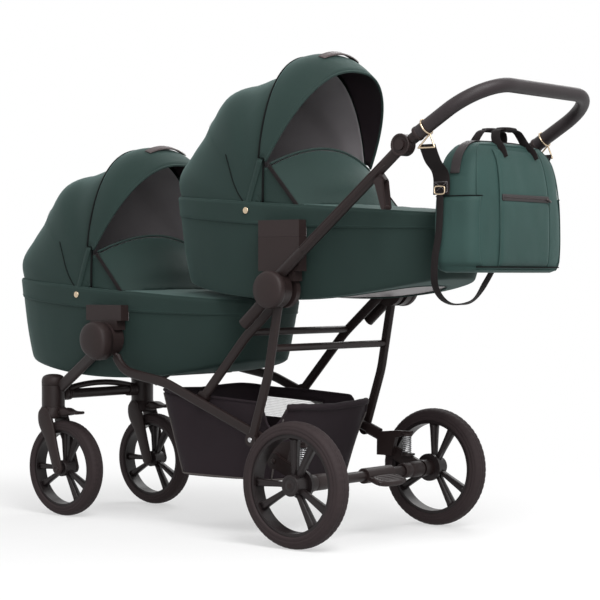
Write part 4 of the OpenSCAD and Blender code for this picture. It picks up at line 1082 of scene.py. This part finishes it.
def floor_pt(k, t, z):
    x, y, _ = basket_pt(0.0, 3.0, t)
    x, y = x * k, y * k
    return basket_at(x, y, BASKET_Z + z - 3.0 * (1 - k ** 4) + 1.5 * waver(x, y, 0, 0.02, 9))


def sew(name, mesh, mat=BLACK_CLOTH):
    put(name, mesh, mat, "chassis", "basket")


BASKET_TURN = even_turn(lambda t: basket_pt(1, 0, t), 200)
walls = cloth("basket_walls", WALL_ROWS, BASKET_TURN, lambda f, t: wall_pt(f, t, 3.0),
              lambda f, t: wall_pt(f, t, 5.2), BLACK_CLOTH, BLACK_CLOTH, wrap=True)
keep(walls, "chassis", "basket", "basket")
sew("basket_floor", closed_loft([[floor_pt(k, t, 1.0) for t in BASKET_TURN] for k in FLOOR_ROWS[::-1]]
                                + [[floor_pt(k, t, -0.5) for t in BASKET_TURN] for k in FLOOR_ROWS]))
sew("basket_top_binding", tube([hung_pt(1.0, 3.6, t, 0.6) for t in BASKET_TURN], 0.0036, closed=True))
low = [basket_at(*basket_pt(0.012, 2.2, t)) for t in BASKET_TURN]
sew("basket_low_piping", tube(low, 0.0022, closed=True), GREY_PIPE)
for k, t in enumerate(np.radians((-135, 135, -45, 45))):
    seam = [hung_pt(f, 1.6, t) for f in linspace(0.015, 0.97, 20)]
    sew(f"basket_corner_piping_{k}", tube(seam, 0.0021), GREY_PIPE)

# net window in the right side of the basket, and the padded hem of its rear panel
WINDOW_X, WINDOW_F = (-166.0, 46.0), (0.6, 0.88)
NET_R = 0.00042


def net_pt(x, f, out=0.0):
    y = (0.9 + 0.1 * f) * BASKET_B - 4.1 + 1.5 * sin(pi * f) + out
    return basket_at(x, y, basket_z(x, f))


def in_window(face):
    c = face.calc_center_median()
    x = c.x * 1000 - SHIFT - BASKET_X
    f = (c.z * 1000 - BASKET_Z) / (BASKET_H - 26 * x / 450)
    inside = WINDOW_X[0] < x < WINDOW_X[1] and WINDOW_F[0] < f < WINDOW_F[1]
    return inside and c.y > 0.15 and abs(face.normal.y) > 0.7


bm = bmesh.new()
bm.from_mesh(walls.data)
cut = [face for face in bm.faces if in_window(face)]
reach = [v.co.x * 1000 - SHIFT - BASKET_X for face in cut for v in face.verts]
bmesh.ops.delete(bm, geom=cut, context="FACES")
bmesh.ops.bridge_loops(bm, edges=[e for e in bm.edges if e.is_boundary])
bm.to_mesh(walls.data)
bm.free()
x0, x1 = min(reach), max(reach)
xs, fs = linspace(x0 - 3, x1 + 3, 60), linspace(0.585, 0.895, 12)
lines = [[net_pt(x, f, 0.35) for x in xs] for f in linspace(0.592, 0.888, 15)]
lines += [[net_pt(x, f, -0.35) for f in fs] for x in np.arange(x0 - 2, x1 + 3, 4.0)]
sew("basket_net", joined([tube(line, NET_R, sides=5) for line in lines]), NET)
xs, fs = linspace(x0, x1, 40), linspace(0.61, 0.87, 12)
edge = [net_pt(x, 0.6) for x in xs] + [net_pt(x1, f) for f in fs]
edge += [net_pt(x, 0.88) for x in xs[::-1]] + [net_pt(x0, f) for f in fs[::-1]]
sew("basket_net_binding", tube(edge, 0.0024, closed=True))
hem = []
for y in linspace(-158, 158, 40):
    x = 222 * (1 - (abs(y) / BASKET_B) ** 6) ** (1 / 6) - 3.0
    z = BASKET_Z + BASKET_H - 17 - 6 * max(0.0, 1 - abs(y) / 150) + 1.5 * waver(y, 0, 0, 0.03, 2)
    hem.append(basket_at(x, y, z))
sew("basket_rear_hem", tube(hem, 0.0085, sides=12))

# changing bag: a soft shell, given by its depth and width at shares of its height
BAG_X, BAG_Z, BAG_D, BAG_W, BAG_H = 380.0, 647.3, 146.0, 390.0, 302.0
RING_X = 348.9
BAG_KEYS = (0, 0.02, 0.1, 0.35, 0.62, 0.83, 0.93, 0.985, 1.0)
BAG_DEEP = (0.70, 0.86, 0.96, 1.0, 0.95, 0.80, 0.60, 0.38, 0.10)
BAG_WIDE = (0.90, 0.96, 0.99, 0.985, 0.965, 0.90, 0.79, 0.60, 0.25)
BAG_ROWS = (0.0, 0.006, 0.015, 0.03, 0.06, 0.1, 0.16, 0.24, 0.32, 0.4, 0.48, 0.56, 0.64, 0.72, 0.79, 0.85,
            0.9, 0.935, 0.96, 0.978, 0.99, 0.997)
BAG_E = 5.0


def bag_at(x, y, z):
    return at(x + BAG_X, y, z + BAG_Z)


def bag_half(h):
    return spline(BAG_KEYS, BAG_DEEP, h) * BAG_D / 2, spline(BAG_KEYS, BAG_WIDE, h) * BAG_W / 2


def bag_pt(h, t, inset=0.0):
    a, b = bag_half(h)
    return [*oblong(max(1.0, a - inset), max(1.0, b - inset), BAG_E, t), h * BAG_H]


def bag_wall(h, t):
    x, y, z = bag_pt(h, t)
    out = 2.4 * waver(x, y, z, 0.012, 6.1) + 1.4 * waver(x, y * 1.6, z * 0.5, 0.03, 2.9)
    out -= 3.0 * bell(abs(y) - 190, 40) * bell(h - 0.6, 0.12)
    return bag_at(*bag_pt(h, t, 2.2 - out * sin(pi * min(1, h + 0.05))))


def bag_rear(y, h, out):
    """A point on the bag's rear face at that width and height."""
    a, b = bag_half(h)
    k = min(0.999, abs(y) / b)
    return bag_at(a * (1 - k ** BAG_E) ** (1 / BAG_E) - 1.0 + out, y, h * BAG_H)


def bag_end(x, h, s, out):
    """A point on the bag's end at that depth and height."""
    a, b = bag_half(h)
    k = min(0.999, abs(x) / a)
    return bag_at(x, s * (b * (1 - k ** BAG_E) ** (1 / BAG_E) - 1.0 + out), h * BAG_H)


BAG_TURN = even_turn(lambda t: bag_pt(0.35, t), 160)
rows = [[bag_wall(h, t) for t in BAG_TURN] for h in BAG_ROWS]
put("bag_shell", closed_loft(rows), GREEN_BAG, "bag", "green", "bag_body")

# centre panel of the bag's rear face, padded, with seams and a zipped pocket
PANEL_Y, PANEL_LOW, PANEL_HIGH, ZIP_H = 104, 0.045, 0.93, 0.565
ZIP_PULL = ((84, 0.565, 7.2), (90, 0.563, 8.2), (97, 0.556, 8.0), (103, 0.548, 7.0))


def taper(h):
    return 1.0 - 0.22 * max(0.0, h - 0.5)


def panel_out(h, y):
    e = min(1.0, (PANEL_Y - abs(y)) / 10 + 0.1, (PANEL_HIGH - h) * BAG_H / 9 + 0.15,
            (h - PANEL_LOW) * BAG_H / 10 + 0.15)
    split = 1.0 - 0.55 * bell((h - ZIP_H) * BAG_H, 5.0)
    return 4.0 * e ** 0.6 * split + 1.4 * waver(y, h * 220, 0, 0.022, 3.3) * e


o = cloth("bag_centre_panel", linspace(PANEL_LOW, PANEL_HIGH, 30), linspace(-PANEL_Y, PANEL_Y, 31),
          lambda h, y: bag_rear(y * taper(h), h, panel_out(h, y)),
          lambda h, y: bag_rear(y * taper(h), h, -1.0), GREEN_BAG, GREEN_BAG)
keep(o, "bag", "green")
o = cloth("bag_pocket_zip", (0.540, 0.546, 0.565, 0.584, 0.590), linspace(-98, 98, 24),
          lambda h, y: bag_rear(y, h, 5.6 if 0.545 < h < 0.585 else 4.6), lambda h, y: bag_rear(y, h, 1.5),
          ZIP, ZIP)
keep(o, "bag", "webbing")
line = [bag_rear(y, ZIP_H, 6.0) for y in linspace(-96, 92, 40)]
put("bag_pocket_teeth", stitches(line, 0.0032, 0.0016, 0.0011), TEETH, "bag", "webbing")
put("bag_zip_pull", tube([bag_rear(*p) for p in ZIP_PULL], 0.0026), TEETH, "bag", "webbing")
for k, y in enumerate((-106, 106)):
    seam = [bag_rear(y * taper(h), h, 1.4) for h in linspace(0.04, PANEL_HIGH, 40)]
    put(f"bag_seam_{k}", tube(seam, 0.0013, sides=6), GREEN_BAG, "bag", "green")
seam = [bag_rear(y, 0.042, 1.6) for y in linspace(-176, 176, 50)]
put("bag_base_seam", tube(seam, 0.0018, sides=6), PIPING, "bag", "green")


# pockets on the bag's ends, flat under the side tabs
def pocket_out(h, x):
    e = min(1.0, (60 - abs(x)) / 10 + 0.1, (0.57 - h) * BAG_H / 8 + 0.3, (h - 0.05) * BAG_H / 12 + 0.15)
    under_tab = abs(x - RING_X + BAG_X) < 24 and h > 0.3
    return 1.6 * e ** 0.6 * (0.3 if under_tab else 1.0)


for name, s in SIDES:
    o = cloth(f"bag_end_pocket_{name}", linspace(0.05, 0.57, 16), linspace(-60, 60, 21),
              lambda h, x: bag_end(x, h, s, pocket_out(h, x)), lambda h, x: bag_end(x, h, s, -1.0),
              GREEN_BAG, GREEN_BAG)
    keep(o, "bag", "green")
    seam = [bag_end(x, 0.572, s, 0.8) for x in linspace(-62, 62, 24)]
    put(f"bag_end_seam_{name}", tube(seam, 0.0014, sides=6), PIPING, "bag", "green")

# edge piping all round the bag's rear and front faces
hs, ks = linspace(0.02, 0.965, 60), linspace(-1, 1, 24)[1:-1]
loop = [(h, -1) for h in hs] + [(0.965, k) for k in ks]
loop += [(h, 1) for h in hs[::-1]] + [(0.02, k) for k in ks[::-1]]
for name, face in (("rear", 1), ("front", -1)):
    pts = []
    for h, k in loop:
        a, b = bag_half(h)
        x = (a - 2.2) * (1 - abs(0.93 * k) ** BAG_E) ** (1 / BAG_E) + 0.2
        pts.append(bag_at(face * x, (b - 2.2) * 0.93 * k, h * BAG_H))
    line = resample(pts, 0.007, True)
    put(f"bag_piping_{name}", tube(line, 0.0017, closed=True), GREEN_BAG, "bag", "green")


# top opening of the bag with its zip, from end to end over the top
def opening_pt(h, k):
    y = k * bag_half(h)[1] * (1.0 if h < 0.99 else 0.55) - k * 0.6
    return bag_at(0, y, h * BAG_H + (1.6 if h > 0.98 else 0.4))


def zip_pt(x, i, out):
    return top[i] + np.array((x / 1000, 0, 0)) - inward[i] * out / 1000


hs = linspace(0.74, 0.985, 22)
loop = [(h, -1) for h in hs] + [(0.992, k) for k in linspace(-0.8, 0.8, 18)] + [(h, 1) for h in hs[::-1]]
top = curve(resample([opening_pt(h, k) for h, k in loop], 0.012), 90)
inward = np.cross((1.0, 0, 0), frames_along(top)[1])
inward /= np.linalg.norm(inward, axis=1)[:, None]
o = cloth("bag_top_zip", (-12, -11, -4, 0, 4, 11, 12), range(len(top)),
          lambda x, i: zip_pt(x, i, 0.9 if abs(x) < 11.5 else 0.2), lambda x, i: zip_pt(x, i, -2.2), ZIP, ZIP)
keep(o, "bag", "webbing")
put("bag_top_teeth", stitches(top - inward * 0.0013, 0.0032, 0.0016, 0.0012), TEETH, "bag", "webbing")

# carrying loops on the top of the bag
LOOP_HALF = ((56, -66, -40), (47, -64, -20), (32, -60, -3), (25, -55, 12), (21, -44, 25), (20, -24, 29))
LOOP = (*LOOP_HALF, (20, 0, 30), *((x, -y, z) for x, y, z in LOOP_HALF[::-1]))
FLAT = [(1, 0, 0)]
for k, s in enumerate((-1, 1)):
    pts = [bag_at(s * x, y, BAG_H + z) for x, y, z in LOOP]
    strap(f"bag_loop_{k}", pts, FLAT, 0.022, 0.0034, *(["bag_handles"] if k == 0 else []))
    strap(f"bag_loop_wrap_{k}", curve(pts, 90)[36:54], FLAT, 0.027, 0.009, n=24)

# side tabs: webbing from the bag's end up and through the ring, with a crossed seam and a buckle
TAB = ((191.5, 176), (190.6, 196), (191.5, 214), (199, 230), (224, 250), (243.5, 278.7), (247.4, 286.7))
TAB_SEAM = ((-17, 181), (17, 181), (17, 205), (-17, 205), (-17, 181), (17, 205), (17, 181), (-17, 205))


def tab_pt(x, y, z):
    return at(RING_X + x, y, BAG_Z + z)


for name, s in SIDES:
    strap(f"bag_tab_{name}", [tab_pt(0, s * y, z) for y, z in TAB], FLAT, 0.044, 0.0030)
    seam = stitches([tab_pt(x, s * 193.2, z) for x, z in TAB_SEAM], 0.0045)
    put(f"bag_tab_stitch_{name}", seam, LINING, "bag", "webbing")
    ring = [tab_pt(x, s * 198.5, 186 + z) for x, z in (oblong(14, 9, 4, t) for t in circle(40))]
    put(f"bag_strap_ring_{name}", tube(ring, 0.0017, closed=True), GOLD, "bag", "gold")

# shoulder strap hanging below the bag: shares of the bag's depth, half width and height, and its turn
BELT = ((0.287, -1.01, 0.6, 0), (0.287, -1.01, 0.45, 0), (0.27, -1.03, 0.25, 0), (0.22, -1.04, 0.1, 0),
        (0.18, -1, -0.08, 0), (0.14, -0.84, -0.18, 0), (0.1, -0.6, -0.235, 0), (0.06, -0.3, -0.24, 0.2),
        (0.01, 0, -0.21, 0.55), (-0.035, 0.28, -0.1, 1), (-0.04, 0.56, 0.08, 1), (-0.04, 0.8, 0.28, 1),
        (0, 1.03, 0.4, 0.6), (0.15, 1.03, 0.46, 0.15), (0.287, 1.01, 0.53, 0), (0.287, 1.01, 0.6, 0))
pts = [bag_at((a - 0.5) * BAG_D, b * BAG_W / 2, c * BAG_H) for a, b, c, _ in BELT]
wide = []
for d, (*_, turn) in zip(frames_along(pts)[1], BELT):
    flat = np.cross((1, 0, 0), d)
    flat /= np.linalg.norm(flat)
    wide.append(np.array((1.0, 0, 0)) * (1 - turn) + flat * turn)
belt = strap("shoulder_strap", pts, wide, 0.018, 0.0026, "bag_strap", n=160)
way = curve(pts, 160)
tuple(way[0])
float(along(way)[-1])


# floor and light: camera and mirror rays see a white studio, and the object is lit at a plain level
def seen(t):
    """1 for camera, glossy and transmission rays, 0 for the rest."""
    path = node(t, "LightPath").outputs
    last = path["Is Camera Ray"]
    for name in ("Is Glossy Ray", "Is Transmission Ray"):
        last = node(t, "Math", {0: last, 1: path[name]}, operation="MAXIMUM").outputs["Value"]
    return last


paper = material("floor", (0.97, 0.97, 0.97), 0.9, (0.96, 0.96, 0.96), specular=0.1)
t = paper.node_tree
shader = t.nodes["Principled BSDF"]
base = shader.inputs["Base Color"]
tone = node(t, "Mix", {"A": (0.42, 0.42, 0.42, 1), "B": base.links[0].from_socket, "Factor": seen(t)},
            data_type="RGBA")
t.links.new(tone.outputs["Result"], base)
place = node(t, "NewGeometry").outputs["Position"]
far = node(t, "VectorMath", {0: place}, operation="LENGTH").outputs["Value"]
fade = node(t, "MapRange", {"Value": far, "From Min": 0.75, "From Max": 1.9, "To Min": 0.5},
            interpolation_type="SMOOTHSTEP").outputs["Result"]
part = node(t, "Math", {0: fade, 1: seen(t)}, operation="MULTIPLY").outputs["Value"]
white = node(t, "Emission", {"Color": (1.0, 1.0, 1.0, 1)}).outputs["Emission"]
blend = node(t, "MixShader", {"Fac": part, 1: shader.outputs["BSDF"], 2: white})
t.links.new(blend.outputs["Shader"], t.nodes["Material Output"].inputs["Surface"])
floor = add("floor", ([(-60, -60, 0), (60, -60, 0), (60, 60, 0), (-60, 60, 0)], [(0, 1, 2, 3)]), paper)
world = bpy.data.worlds.new("studio")
world.use_nodes = True
t = world.node_tree
back = t.nodes["Background"].inputs
back["Color"].default_value = (1.0, 1.0, 1.0, 1)
level = node(t, "MapRange", {"Value": seen(t), "To Min": 0.5, "To Max": 1.0})
t.links.new(level.outputs["Result"], back["Strength"])
scene.world = world


def area(name, place, aim, size, power):
    d = bpy.data.lights.new(name, "AREA")
    d.size = size
    d.energy = power
    o = bpy.data.objects.new(name, d)
    o.location = place
    o.rotation_euler = (Vector(aim) - Vector(place)).to_track_quat("-Z", "Y").to_euler()
    scene.collection.objects.link(o)


area("key", (2.6, -1.3, 3.6), (0.1, 0, 0.6), 2.0, 130)
area("fill", (2.4, -3.1, 1.5), (0.0, 0, 0.7), 2.2, 42)
area("rim", (-0.8, 3.0, 3.0), (0, 0, 0.7), 2.0, 40)
